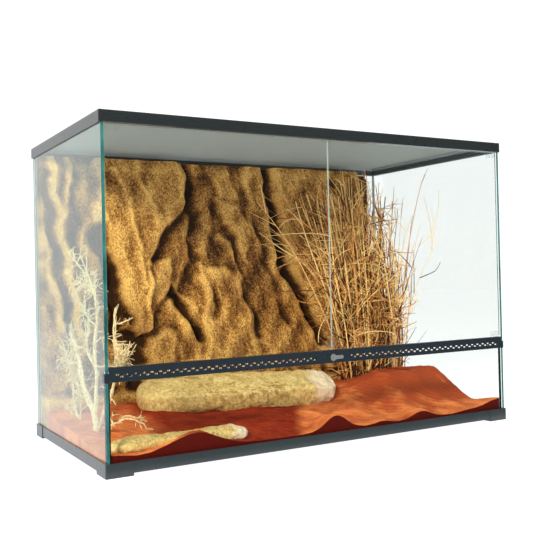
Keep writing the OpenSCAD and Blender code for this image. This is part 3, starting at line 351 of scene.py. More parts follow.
coat(tooled_sealant("black_silicone", (0.010, 0.018, 0.022), 0.32), "seal_floor", "seal_front_left",
     "seal_front_right")
coat(tooled_sealant("clear_silicone", (0.62, 0.70, 0.70), 0.25, 0.6), "seal_rear_left", "seal_rear_right")

# Ventilation strip: an injection moulded channel, blue-black and a little glossier than the
# rails, clipped on the lower pane, with two staggered rows of slots and small end caps. The walls
# of the slots are painted pale, a painted highlight for the light that they catch.
blue_black, slot_wall_highlight = (0.012, 0.021, 0.029), (0.16725, 0.0052, (0.80, 0.80, 0.74))
coat(moulded_plastic("strip_plastic", blue_black, 0.30, 0.6, slot_wall_highlight), "vent_strip")
coat(moulded_plastic("cap_plastic", blue_black, 0.30, 0.6), "strip_cap_left", "strip_cap_right")

# Top rim: grooved extrusions with moulded corner caps, and a clear strip that the doors close on.
# The grooved faces inside the rim, and those that look down, are painted paler than the skin
# outside: painted light that lifts their shade.
coat(moulded_plastic("rim_plastic", (0.017, 0.022, 0.024), 0.30, inside=(0.085, 0.112, 0.128)),
     *["top_rail_" + s for s in sides])
coat(moulded_plastic("corner_plastic", (0.016, 0.021, 0.023), 0.30), *["rim_corner_" + c for c in corners])


def clear_plastic(name, tint):
    """Clear polycarbonate: flow marks change its haze, and most light, with all shadow rays, goes
    straight through its thin walls."""
    mat, tree, shader = new_finish(name, Base_Color=(*tint, 1), IOR=1.5, Transmission_Weight=1.0)
    feed(tree, shader, Roughness=remap(tree, noise(tree, 90, 4), 0.3, 0.7, 0.0, 0.09))
    through = add(tree, "BsdfTransparent", feeds={"Color": (0.98, 0.99, 0.99, 1)})
    thin = maths(tree, "MAXIMUM", add(tree, "LightPath").outputs["Is Shadow Ray"], 0.92)
    surface(tree, either(tree, thin, shader.outputs[0], through.outputs[0]))
    return mat


coat(clear_plastic("stop_plastic", (0.86, 0.93, 0.93)), "door_stop")

# Doors: two frameless 4 mm panes. Clear moulded shoes at the hinge corners carry the pins, and a
# small clear catch is bonded behind each door beside the seam.
coat(float_glass("door_glass", (0, 1, 0), seam=True), "door_glass_left", "door_glass_right")
coat(clear_plastic("shoe_plastic", (0.88, 0.93, 0.93)), "shoe_left_lower", "shoe_left_upper",
     "shoe_right_lower", "shoe_right_upper", "door_catch_left", "door_catch_right")

# Latch: a stamped lever on a turned shaft, with a cam and a screw behind. The steel is satin
# plated, with fine brush lines from side to side in its gloss and as bump.
mat, tree, shader = new_finish("latch_steel", Metallic=0.6)
lines = noise(tree, 1, 4, where=stretched(tree, (60, 900, 900)))
feed(tree, shader, Base_Color=blend(tree, lines, (0.344, 0.3612, 0.3526), (0.40, 0.42, 0.41)),
     Roughness=remap(tree, lines, 0.3, 0.7, 0.22, 0.40), Normal=raised(tree, lines, 0.3, 0.0001))
coat(mat, "latch_lever", "latch_shaft", "latch_cam", "latch_screw")

# Screen cover: four mitred plastic rails that lie on the rim's ledge. A fine wire cloth is laid in
# their seat and held by a rubber spline.
# The faces of the cover rails that look down or at the middle of the case are painted paler: painted light
# that lifts their shade.
coat(moulded_plastic("cover_plastic", (0.145, 0.172, 0.178), 0.42, inside=(0.36, 0.42, 0.44)),
     *["cover_rail_" + s for s in sides])
coat(moulded_plastic("spline_rubber", (0.020, 0.020, 0.020), 0.55), "cover_spline")

# Two layers of straight square wires: along X at every pitch of Y, and along Y at every pitch of X
# on top of them. Each wire is a box from its own low corner to its high corner, in metres.
low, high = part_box("cover_mesh")
pitch, thick = 0.0015, 0.00042
half, middle = thick / 2, (low[2] + high[2]) / 2
ends = [((low[0], y - half, middle - thick), (high[0], y + half, middle))
        for y in np.arange(low[1] + pitch / 2, high[1], pitch)]
ends += [((x - half, low[1], middle), (x + half, high[1], middle + thick))
         for x in np.arange(low[0] + pitch / 2, high[0], pitch)]
pick = [(i, j, k) for k in (0, 1) for i, j in ((0, 0), (1, 0), (1, 1), (0, 1))]
box = np.array([[3, 2, 1, 0], [4, 5, 6, 7], [0, 1, 5, 4], [2, 3, 7, 6], [1, 2, 6, 5], [3, 0, 4, 7]])
faces = (8 * np.arange(len(ends))[:, None, None] + box).reshape(-1, 4)
cloth = put_mesh("wire_cloth", np.array(ends)[:, pick, [0, 1, 2]], [faces], "screen_cover",
                 ["cover_mesh"])
mat, tree, shader = new_finish("coated_wire", Roughness=0.5)
specks = noise(tree, 500, 3)
feed(tree, shader, Base_Color=blend(tree, specks, (0.25, 0.275, 0.26), (0.51, 0.555, 0.53)))
cloth.data.materials.append(mat)


# Rock wall: a foam panel cut into boulders and deep crevices, coated with resin and crushed
# sandstone, so it is pitted and streaked. It is ochre on the high places; painted shade makes it
# dark brown in the gaps, deep in the relief and in patches where facets turn from the light, and
# painted highlight lifts the bulges.
MM = 0.001


def ease(low, high, t):
    """The s-curve 3t^2 - 2t^3, from 0 at low to 1 at high."""
    t = np.clip((t - low) / (high - low), 0, 1)
    return t * t * (3 - 2 * t)


def bump_at(t, centre, width):
    """A bell curve: 1 at the centre, about a third at one width from it."""
    return np.exp(-((t - centre) / width) ** 2)


def rough_field(points, size, seed):
    """A smooth random field: random numbers on a cubic lattice of the given size, blended
    between the eight corners around each point with the s-curve. It runs from -1 to 1."""
    lattice = np.random.default_rng(seed).uniform(-1, 1, (41, 43, 47))
    cell = np.floor(points / size).astype(int)
    t = ease(0, 1, points / size - cell)
    total = 0
    for corner in np.ndindex(2, 2, 2):
        i, j, k = [(cell[..., n] + corner[n]) % lattice.shape[n] for n in range(3)]
        weight = np.prod([t[..., n] if corner[n] else 1 - t[..., n] for n in range(3)], axis=0)
        total = total + weight * lattice[i, j, k]
    return total


def layered_field(points, size, layers, seed):
    """Rough fields added up, each half the size and half the strength of the one before."""
    return sum(rough_field(points, size / 2 ** n, seed + n) / 2 ** n for n in range(layers))


def route_distance(x, z, route):
    """The distance from each point to a route of straight pieces: for each piece, the nearest
    place on it, and the least of these."""
    best = np.full(x.shape, 1e9)
    for (ax, az), (bx, bz) in zip(route[:-1], route[1:]):
        t = np.clip(((x - ax) * (bx - ax) + (z - az) * (bz - az)) / ((bx - ax) ** 2 + (bz - az) ** 2), 0, 1)
        best = np.minimum(best, np.hypot(x - ax - t * (bx - ax), z - az - t * (bz - az)))
    return best


def inside_by(x, z, corners):
    """How far each point lies inside an outline: its distance to the outline, less than zero
    outside. A point is inside if a line from it crosses the outline an odd number of times."""
    ring = corners + corners[:1]
    odd = np.zeros(x.shape, bool)
    for (ax, az), (bx, bz) in zip(ring[:-1], ring[1:]):
        if az != bz:
            crosses = (az > z) != (bz > z)
            odd ^= crosses & (x < (bx - ax) * (z - az) / (bz - az) + ax)
    return np.where(odd, 1, -1) * route_distance(x, z, ring)


rock_low, rock_high = [np.array(c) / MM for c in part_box("rock_wall")]
back_y = rock_high[1]
# Outlines and routes are in percent of the wall's width and height. TOE is under the sand, and TOP
# is just past the wall.
TOE, TOP = 13.5, 102.1
boulders = [  # height, softness of the edge, tilt to the right, outline
    (22, 8, 0.05, [(12.6, TOP), (36.4, TOP), (37.1, 85.3), (29.1, 70.2), (25.6, 57.8), (25.9, 36),
         (23.4, 31.6), (21.4, 36), (18.9, 52), (14.6, 69)]),
    (15, 8, -0.1, [(25.3, 59.9), (31.7, 62.8), (33.2, 58.2), (31.4, 50), (27.8, 42.9), (24.9, 35.1)]),
    (17, 9, -0.12, [(24.4, TOE), (24.6, 26), (26.4, 32), (29.8, 35), (33, 32.5), (34, TOE)]),
    (7, 12, 0, [(10.9, TOE), (12, 24), (15, 29), (18.8, 26.5), (20.6, TOE)]),
    (15, 9, -0.15, [(45.3, 86.5), (52.2, 83.7), (55.9, 74.3), (54.6, 61.3), (50.6, 68.4), (47.3, 77.5)]),
    (12, 10, -0.05, [(41.1, 59.9), (51.7, 56), (56.2, 39.4), (59.7, TOE), (41.6, TOE)]),
    (10, 8, -0.05, [(53.3, TOP), (63.2, TOP), (62.3, 82.6), (64.6, 68.4), (63.2, 56), (56.2, 68.4)]),
    (21, 7, -0.04, [(61.8, TOP), (61.6, 88.8), (66.3, 76.6), (67.2, 61.7), (72.2, 48.9), (77.6, 33),
         (79.7, TOE), (93.8, TOE), (93.8, TOP)]),
    (12, 12, 0, [(33.8, TOE), (34.3, 36.2), (38.7, 40.1), (40.6, 25.9), (44.4, TOE)]),
    (10, 8, -0.15, [(43.9, 81.2), (39.9, 77.7), (38.7, 70.7), (39.2, 63.5), (42.5, 64.5), (43.5, 72)]),
    (11, 9, 0, [(43, TOP), (49.7, TOP), (50.5, 92.4), (52.2, 84.8), (45.6, 87.2), (43.7, 93.3)])]
crevices = [  # width, depth, route
    (16, 22, [(35.9, TOP), (37.7, 91.1), (39, 77.3), (39.4, 66.3), (38, 54.3), (35.4, 48.9)]),
    (11, 30, [(32, 49.3), (35, 44), (37.8, 39.4), (39.9, 30.9)]),
    (18, 32, [(12.6, 72.9), (15.4, 64.5), (16.3, 54.3), (17, 44), (18, 33.7), (23.2, 31.2)]),
    (20, 24, [(22.5, 32.3), (22, TOE)]),
    (11, 44, [(61.3, TOP), (62.3, 86.2), (64.6, 72.9), (65.9, 61.7), (70.9, 49.6), (75.1, 39.4),
         (79.1, 25.9)]),
    (12, 10, [(7.4, 93.3), (8.1, 68.4), (10, 56)]),
    (11, 10, [(0.6, 94.1), (2, 68.4)]),
    (11, 9, [(3, 64.9), (5.8, 40.1), (6.7, 25.9)]),
    (9, 18, [(16.1, 44), (20.6, 39.4), (22.6, 31.2)]),
    (9, 10, [(50, 70.7), (52.7, 56), (55.8, 39.9), (59.1, 30.1)]),
    (10, 9, [(56, 80.5), (59.7, 65.6), (64.4, 48.9), (67.7, 34.8)]),
    (11, 10, [(65, 82.1), (70, 74.8), (76.2, 62.2), (80.3, 52)]),
    (14, 13, [(83.2, 95), (86.4, 84), (82.3, 73.8), (84.4, 64.9)]),
    (8, 9, [(41.1, 59.9), (44.4, 50.7), (45.3, 38.3)])]
ridges = [  # width, height, route
    (11, 22, [(1.8, TOP), (3.4, 78.7), (6, 56.2), (8.7, 33)]),
    (9, 14, [(6.3, TOP), (5.9, 86), (4.4, 78)]),
    (10, 16, [(-0.3, 73.8), (0.7, 59.9), (4.4, 38.3)]),
    (9, 12, [(13.1, TOP), (13.3, 86.3), (12.7, 73.8)]),
    (8, 11, [(45.8, 71.8), (49.9, 66.1), (51.9, 57.6), (53.9, 48.9)]),
    (7, 7, [(63.2, 80.9), (67, 68.4), (69.1, 56), (74.5, 44)]),
    (8, 7, [(17.3, 96.8), (20.6, 80.9), (23.2, 64.9), (23.7, 50.7)]),
    (7, 6, [(22, 98.6), (24.9, 86.2), (28.4, 75.5)])]
# Patches of painted shade, where facets of the rock turn away from the light from the upper left.
shade_patches = [  # strength, softness of the edge, outline
    (0.9, 16, [(36.7, 82.7), (33.5, 81.5), (29.9, 72.7), (27.1, 66.2), (25.1, 59.3), (28.5, 61.4),
         (36.4, 66.8)]),
    (0.4, 18, [(18.9, 96.4), (25.3, 97.9), (25.5, 89.8), (21.3, 85.9)]),
    (0.7, 16, [(42.6, 73.4), (45.5, 74), (49.6, 66.2), (51.5, 54.7), (46.9, 56.6), (42.9, 62.8)]),
    (0.6, 20, [(39.3, 97.8), (45.9, 97.1), (46.5, 83.1), (43.1, 79), (39, 73.9), (38.4, 88.3)]),
    (0.75, 18, [(56.3, 77.7), (59.9, 82.4), (61.2, 60.3), (62, 31.3), (57.2, 31.5), (53.2, 49),
         (55.1, 60.4)]),
    (0.7, 16, [(33.1, 31.3), (38.4, 36.4), (41.4, 25), (35, 22.4)]),
    (0.6, 14, [(44.4, 56.1), (51, 50.2), (55.1, 37.4), (50.9, 38.8), (46.8, 49.3)]),
    (0.5, 18, [(55, 96.4), (60.4, 96.1), (60.5, 83.8), (57.1, 74.6), (54.7, 77.2)]),
    (0.5, 18, [(62.3, 61.7), (66.7, 52.4), (70.6, 41.7), (75.2, 33.4), (73, 28.3), (64.8, 31.6)]),
    (0.5, 18, [(82.9, 96.8), (91.8, 97.4), (92.8, 87.7), (85.9, 83.3), (82.7, 87.3)]),
    (0.5, 16, [(69.8, 80.1), (76, 77.6), (78, 69.6), (73.3, 72.2)]),
    (0.8, 22, [(11, 62), (16.6, 54), (19.2, 40), (22.6, 30), (26.4, 31), (24.2, 22), (23.6, TOE),
         (10.5, TOE)])]


def placed(line):
    """Points in percent of the wall's width and height, in mm."""
    return [tuple(rock_low[[0, 2]] + np.array(p) * (rock_high - rock_low)[[0, 2]] / 100) for p in line]


def rock_relief(x, z):
    """How far the rock stands out from the back pane, in mm. The place is first swayed by sine
    waves. Soft rolls follow, with each boulder raised inside its outline, each ridge and crevice
    a bell curve across its route, and random fields for streaks and pits. The panel thins at its
    right end and top, and below the toe line it is a plain foot behind the sand."""
    wave = lambda angle: np.sin(np.radians(angle))
    flat = np.stack([x, z, 0 * x], -1)
    px = x + 4 * wave(4.1 * z + 1.3 * x) + 0.8 * wave(11 * z - 5 * x + 70) + 1.0 * rough_field(flat, 10, 4)
    pz = z + 4 * wave(3.7 * x - 1.1 * z + 20) + 0.8 * wave(10 * x + 4 * z) + 1.0 * rough_field(flat, 10, 6)
    out = 50 + 5 * wave(2.3 * x + 40) * wave(1.9 * z + 20) + 2.5 * wave(5.1 * x - 3.3 * z)
    for height, soft, tilt, ring in boulders:
        ring = placed(ring)
        mask = ease(-soft, soft, inside_by(px, pz, ring))
        out = out + mask * (height + tilt * (px - np.mean(ring, axis=0)[0]))
    for width, height, line in ridges:
        out = out + height * bump_at(route_distance(px, pz, placed(line)), 0, width)
    cut = 0 * x
    for width, depth, line in crevices:
        cut = np.maximum(cut, depth * bump_at(route_distance(px, pz, placed(line)), 0, width))
    streak = np.stack([flat[..., 0] + 0.35 * flat[..., 1], 0.36 * flat[..., 1], flat[..., 2]], -1)
    out = np.clip(out - cut, 14, 86) + 2.4 * layered_field(streak, 24, 2, 11)
    out = out + 1.6 * rough_field(streak, 8, 13) + 1.1 * rough_field(flat, 4.8, 15)
    end = ease(rock_high[0] - 66, rock_high[0] - 36, x)
    out = out * (1 - end) + 11 * end - 8 * ease(rock_high[2] - 24, rock_high[2], z)
    toe = ease(70, 92, z)
    return out * toe + (66 + 1.5 * rough_field(flat, 30, 17)) * (1 - toe)


def sunken(values, cells, depth, least=-1):
    """How far each value lies below the mean of a square window round it, in shares of the depth.
    The mean comes from running sums along the rows and the columns."""
    window, mean = 2 * cells + 1, values
    for axis in (0, 1):
        pad = [(0, 0), (0, 0)]
        pad[axis] = (cells + 1, cells)
        sums = np.cumsum(np.pad(mean, pad, mode="edge"), axis=axis)
        starts = np.arange(values.shape[axis])
        mean = (np.take(sums, starts + window, axis) - np.take(sums, starts, axis)) / window
    return np.clip((mean - values) / depth, least, 1)


def grid_faces(rows, columns):
    """The four corners of each square between neighbouring rows and columns of points."""
    i = np.arange(rows * columns).reshape(rows, columns)
    return np.stack([i[:-1, :-1], i[1:, :-1], i[1:, 1:], i[:-1, 1:]], -1).reshape(-1, 4)


def put_block(name, face, axis, level, turned, replaced, marks):
    """Puts a piece whose one side is a grid of points: the edge points once more, moved along the
    axis to the level, and one face across them close it. Turned faces look the other way."""
    wide = np.pad(face, ((1, 1), (1, 1), (0, 0)), mode="edge")
    for edge in (wide[0], wide[-1], wide[:, 0], wide[:, -1]):
        edge[:, axis] = level
    i = np.arange(wide[..., 0].size).reshape(wide.shape[:2])
    round_edge = np.concatenate([i[:-1, 0], i[-1, :-1], i[:0:-1, -1], i[0, :0:-1]])
    faces = [grid_faces(*i.shape), round_edge[::-1][None]]
    return put_mesh(name, wide * MM, [f[:, ::-1] for f in faces] if turned else faces, "case",
                    replaced, {label: np.pad(values, 1, mode="edge") for label, values in marks.items()})


columns = np.linspace(rock_low[0] + 0.2, rock_high[0] - 0.2, 352)
rows = np.linspace(rock_low[2], rock_high[2], 236)
x, z = np.meshgrid(columns, rows, indexing="ij")
relief = rock_relief(x, z)
rock_front = np.stack([x, back_y - relief, z], -1)
# Painted shade and highlight: darker where the relief dips and deep in the relief, paler on the bulges, and
# darker inside the patches of painted shade.
hollow = sunken(relief, 9, 9, -0.5) + 0.3 * sunken(relief, 2, 1.8)
sway = 7 * np.stack([rough_field(rock_front, 26, 5), rough_field(rock_front, 26, 7)])
for strength, soft, outline in shade_patches:
    hollow += strength * ease(-soft, soft, inside_by(x + sway[0], z + sway[1], placed(outline)))
rock = put_block("rock_panel", rock_front, 1, back_y, True, ["rock_wall"],
                 {"hollow": hollow, "depth": np.clip((58 - relief) / 46, 0, 1)})

stone, given, gives = effect(
    "pitted_stone", {"Dark": "Color", "Middle": "Color", "Light": "Color", "Hollow": "Float",
                     "Grain size": "Float"}, {"Colour": "Color", "Height": "Float"})
sized = add(stone, "VectorMath", {"operation": "SCALE"}, {
    0: spots(stone), "Scale": given["Grain size"]}).outputs[0]
flat = add(stone, "Mapping", feeds={
    "Vector": sized, "Rotation": (0, 0.3, 0), "Scale": (1, 1, 0.75)}).outputs[0]
pits = add(stone, "TexVoronoi", feeds={"Vector": flat, "Scale": 380.0}).outputs["Distance"]
speck = remap(stone, pits, 0.08, 0.42, -0.34, 0.06)
speck = maths(stone, "MULTIPLY_ADD", noise(stone, 300, 3, 0.7, flat), 1.45, speck)
speck = maths(stone, "MULTIPLY_ADD", noise(stone, 620, 3, 0.7, sized), 0.55, speck)
tone = maths(stone, "MULTIPLY_ADD", noise(stone, 17, 4, where=sized), 0.55, speck)
# Painted shade: the tone drops where the surface lies low, and rises as painted highlight where it bulges.
tone = maths(stone, "MULTIPLY_ADD", given["Hollow"], -0.30, tone)
tone = remap(stone, tone, 0.86, 1.66)
dark = blend(stone, remap(stone, tone, 0.0, 0.45), given["Dark"], given["Middle"])
feed(stone, gives, Colour=blend(stone, remap(stone, tone, 0.45, 1.0), dark, given["Light"]), Height=speck)


def mark(tree, name):
    """The value that put_mesh gave each point under this name."""
    return add(tree, "Attribute", {"attribute_name": name}).outputs["Fac"]


def stone_finish(name, dark, middle, light, size, strength, fresh=None):
    """Crushed or natural sandstone: the pitted stone group, with painted shade where the surface
    lies low or deep in the relief and painted highlight where it bulges, and mixed with the fresh
    colour where a block is broken."""
    mat, tree, shader = new_finish(name, Roughness=0.86, Specular_IOR_Level=0.25)
    painted_shade_total = maths(tree, "MULTIPLY_ADD", mark(tree, "depth"), 1.2, mark(tree, "hollow"))
    skin = add(tree, "Group", {"node_tree": stone}, {
        "Dark": (*dark, 1), "Middle": (*middle, 1), "Light": (*light, 1),
        "Hollow": painted_shade_total, "Grain size": size}).outputs
    colour = skin["Colour"]
    if fresh:
        colour = blend(tree, maths(tree, "MULTIPLY", mark(tree, "broken"), 0.6), colour, fresh)
    feed(tree, shader, Base_Color=colour, Normal=raised(tree, skin["Height"], strength, 0.0018))
    return mat


rock.data.materials.append(stone_finish(
    "sandstone_coating", (0.046, 0.018, 0.004), (0.40, 0.178, 0.041), (0.98, 0.61, 0.17), 1.0, 1.0))

# Sand bed: fine orange-red sand, poured deepest at the back and drawn into dunes with sharp
# crests. Painted shade darkens it where it lies low and on the dune at the right, a painted
# shadow of the ledge stone falls on it in front of the ledge, and painted shade makes the cut
# through it at the front glass dark red.
sand_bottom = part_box("sand_bed")[0][2] / MM
# In mm: the inner faces of the side panes, the front pane and the back pane, the rock's foot and
# its right end, how far back the sand reaches beside it, and the gap from the sand to the glass
half_x, front_y, wall_y, toe_y, rock_end, beside_y, gap = 441.5, -214.5, 216.5, 150.5, 412.7, 212.0, 0.3
sand_crests = [  # height, route
    (8, [(268, 120), (300, 40), (262, -60), (232, -140), (235, -190)]),
    (8, [(10, -205), (18, -160), (34, -110), (12, -78), (-30, -62)]),
    (7, [(-273, -190), (-226, -150), (-190, -120), (-150, -112)]),
    (7, [(352, 20), (338, -60), (352, -130), (345, -190)]),
    (7, [(150, -60), (118, -110), (132, -170), (120, -200)])]


def sand_height(x, y):
    """Height of the sand in mm: bell-shaped humps by the glass, a slope up to the back, a dune
    at the right with one sharp crest, lesser crests along routes, wind ripples and hollows."""
    spot = np.stack([x, y, 0 * x], -1)
    u = (x + half_x) / (2 * half_x)
    near = 1 - ease(0, 90, y - front_y)
    back = (y - front_y) / (wall_y - front_y)
    humps = sum(size * bump_at(u, centre, width) for size, centre, width in (
        (27, 0.173, 0.075), (21, 0.509, 0.042), (12, 0.745, 0.035), (20, 1, 0.07), (9, 0, 0.05)))
    crest = front_y + 215.5 + 22 * np.sin(np.radians(300 * u + 60)) + 5 * rough_field(spot, 70, 31)
    fall = np.where(y > crest, 120, 86)
    dune = 46 * bump_at(y, crest, fall) * ease(0.52, 0.86, u)
    sharp = 5 * np.exp(-np.abs(y - crest) / 22) * ease(0.6, 0.8, u)
    ripple = 3 * np.sin(np.radians(900 * u + 60 * np.sin(np.radians(400 * back)))) * (1 - near)
    crests = sum(size * bump_at(route_distance(x, y, route), 0, 26) for size, route in sand_crests)
    wind = 0.5 * np.sin(0.42 * (0.8 * x + 0.6 * y) + 2.6 * rough_field(spot, 40, 33)) * (1 - near)
    rough = 2.2 * layered_field(spot, 60, 3, 35) * ease(0, 40, y - front_y)
    slope = 26 + humps * near + 28 * ease(0, 0.9, back) + 4 * (1 - near)
    return slope + dune + sharp + crests + ripple + wind + rough + 0.35 * rough_field(spot, 5, 39)


# The sand fills the bed up to the rock's foot, and reaches the back pane beside the rock
u = np.linspace(0, 1, 424)
x_line = np.concatenate([
    -half_x + gap + u * (rock_end + half_x), np.linspace(rock_end + 0.5, half_x - gap, 14)])
x, v = np.meshgrid(x_line, np.linspace(0, 1, 206), indexing="ij")
y_end = np.where(x > rock_end + 0.2, beside_y, toe_y)
y = front_y + gap + v ** 1.15 * (y_end - front_y - gap)
room_x = half_x - gap - np.maximum(0, 4 - (y - front_y))
x = np.clip(x, -room_x, room_x)
sand_top = np.stack([x, y, np.clip(sand_height(x, y), 16, 97)], -1)
# Painted shade where the sand lies low and on the dune at the right, painted highlight where it bulges.
hollow = sunken(sand_top[..., 2], 8, 2.5) + 2.3 * ease(80, 300, x) * ease(-190, -60, y)
# Painted shadow of the ledge stone on the sand in front of it.
painted_ledge_shadow = ease(-16, 16, 62.5 + 0.634 * y - x + 9 * rough_field(sand_top, 34, 41)) * ease(-335, -265, x)
sand = put_block("sand_dunes", sand_top, 2, sand_bottom, False, ["sand_bed"],
                 {"hollow": hollow, "painted_ledge_shadow": painted_ledge_shadow})
mat, tree, shader = new_finish("red_sand_grains", Roughness=0.95, Specular_IOR_Level=0.15)
grains = noise(tree, 620, 3, 0.8)
mixed = maths(tree, "MULTIPLY_ADD", grains, 0.95, noise(tree, 26, 5))
mixed = maths(tree, "MULTIPLY_ADD", mark(tree, "hollow"), -0.20, mixed)
tone = blend(tree, remap(tree, mixed, 0.72, 1.20), (0.44, 0.078, 0.024), (1.0, 0.32, 0.092))
tone = blend(tree, mark(tree, "painted_ledge_shadow"), tone, (0.40, 0.15, 0.16), "MULTIPLY")
# Painted shade: the cut through the sand at the front glass is dark red.
painted_cut_shade = maths(tree, "LESS_THAN", axis_of(tree, "Y", "Normal"), -0.9)
feed(tree, shader, Base_Color=blend(tree, painted_cut_shade, tone, (0.085, 0.004, 0.0015)),
     Normal=raised(tree, grains, 0.5, 0.0008))
sand.data.materials.append(mat)


# Stones: a long block of pale yellow sandstone that makes a ledge, and a low flat one by the
# front glass, both half buried. Their ends are broken and paler than the weathered top.
def tube_faces(tubes, rings, sides):
    """The sides of closed tubes whose points go round ring by ring, and then both end faces."""
    i = np.arange(tubes * rings * sides).reshape(tubes, rings, sides)
    j = np.roll(i, -1, 2)
    skin = np.stack([i[:, :-1], j[:, :-1], j[:, 1:], i[:, 1:]], -1).reshape(-1, 4)
    return [skin, i[:, 0, ::-1], i[:, -1]]


def sandstone_block(mid, length, width, height, turn, blunt, lumps, slope, seed):
    """A block along a line. Each section is a squared oval (cosine and sine to the power
    0.75 - slope / 2) whose top slopes down to a front edge and whose front draws in below it. The
    block narrows towards its ends by the root of 1 - |2t - 1|^blunt, and random fields chip it."""
    t = 0.5 - 0.5 * np.cos(np.linspace(0.02, np.pi - 0.02, 190))
    a = np.linspace(0, 2 * np.pi, 150, endpoint=False)
    t, a = np.meshgrid(t, a, indexing="ij")
    heading = np.radians(turn)
    along = np.array([np.cos(heading), np.sin(heading), 0])
    side = np.array([-np.sin(heading), np.cos(heading), 0])
    line = np.array(mid) + ((t - 0.5) * length)[..., None] * along
    grow = 0.12 + 0.88 * np.sqrt(1 - np.abs(2 * t - 1) ** blunt)
    lump = 1 + lumps * (np.sin(3 * a + np.radians(line[..., 0])) + np.sin(2 * a - np.radians(line[..., 1])))
    u, v = [np.sign(w) * np.abs(w) ** (0.75 - slope / 2) for w in (np.cos(a), np.sin(a))]
    outward = u[..., None] * side + v[..., None] * np.array([0, 0, 1])
    drawn_in = np.where((u < 0) & (v < 0), 1 + 0.6 * slope * v, 1)
    u, v = u * drawn_in, v * np.where(v > 0, 1 - slope + slope * u, 1)
    points = line + (u * width / 2 * lump * grow)[..., None] * side
    points[..., 2] += v * height / 2 * lump * grow
    broken = ease(0.84, 0.90, t + 0.035 * layered_field(points, 26, 2, seed + 9))
    chips = 3.4 * layered_field(points, 52, 2, seed)
    chips += (1.5 + 1.6 * broken) * layered_field(points, 15, 3, seed + 4)
    pits = -1.8 * ease(0.3, 0.8, layered_field(points, 7, 2, seed + 8))
    pits *= ease(-0.1, 0.5, rough_field(points, 70, seed + 7))
    points = points + (chips + pits)[..., None] * outward * ease(0, 0.35, grow)[..., None]
    # Painted shade: darker where the chips dip, in the pits and on the lower side of each section away from
    # the broken ends, and painted highlight where the chips bulge.
    hollow = sunken(chips, 4, 2.5)
    hollow += 3.2 * ease(0.2, 1.3, -pits) + 0.5 * ease(0.0, -0.5, v) * (1 - broken)
    return points, tube_faces(1, *t.shape), {"hollow": hollow, "broken": broken}


pale_stone = stone_finish("pale_sandstone", (0.40, 0.255, 0.082), (0.62, 0.45, 0.155), (0.86, 0.69, 0.31),
                          0.5, 0.22, (0.86, 0.74, 0.60))
for name, node, sizes in (
        ("ledge_block", "stone_ledge", ((-70, 36, 79), 430, 92, 82, -15, 10, 0.04, 0.42, 51)),
        ("flat_block", "flat_stone", ((-298.5, -179.5, 39), 262, 46, 34, 0, 5, 0.06, 0.1, 71))):
    points, faces, marks = sandstone_block(*sizes)
    block = put_mesh(name, points * MM, faces, "case", [node], marks)
    block.data.materials.append(pale_stone)


# Root branches: sandblasted root wood, cream coloured. A thick crooked root and thinner ones rise
# from one foot in the sand by the left pane, and short bent ends stand on them like antlers.
def unit(v):
    """The vector with length 1, or straight up where it has no length."""
    size = np.linalg.norm(v, axis=-1, keepdims=True)
    return np.where(size > 1e-6, v / np.maximum(size, 1e-6), [0, 0, 1])


def stem_tubes(paths, radii, sides):
    """Round stems along many paths at once. Each path point carries a ring of points square to
    the path: the path's direction is the difference of its neighbours, and two directions at
    right angles to it, taken from a fixed slanted vector, place the ring. Both ends are closed."""
    ahead = unit(np.gradient(paths, axis=1))
    side = unit(np.cross(ahead, [0.31, 0.22, 0.13]))
    over = np.cross(ahead, side)
    a = np.linspace(0, 2 * np.pi, sides, endpoint=False)
    ring = np.cos(a)[:, None] * side[..., None, :] + np.sin(a)[:, None] * over[..., None, :]
    points = paths[:, :, None, :] + radii[:, :, None, None] * ring
    return points, tube_faces(*paths.shape[:2], sides)


def stem_piece(name, groups, sides, replaced, seed):
    """One piece from several groups of stems (paths and radii), with a random tone for each."""
    points, faces, tones, offset = [], [], [], 0
    rng = np.random.default_rng(seed)
    for paths, radii in groups:
        ring, skin = stem_tubes(paths, radii, sides)
        points.append(ring.reshape(-1, 3))
        faces.extend(f + offset for f in skin)
        tones.append(np.repeat(rng.uniform(0, 1, len(paths)), paths.shape[1] * sides))
        offset += len(points[-1])
    return put_mesh(name, np.concatenate(points) * MM, faces, "case", replaced,
                    {"tone": np.concatenate(tones)})


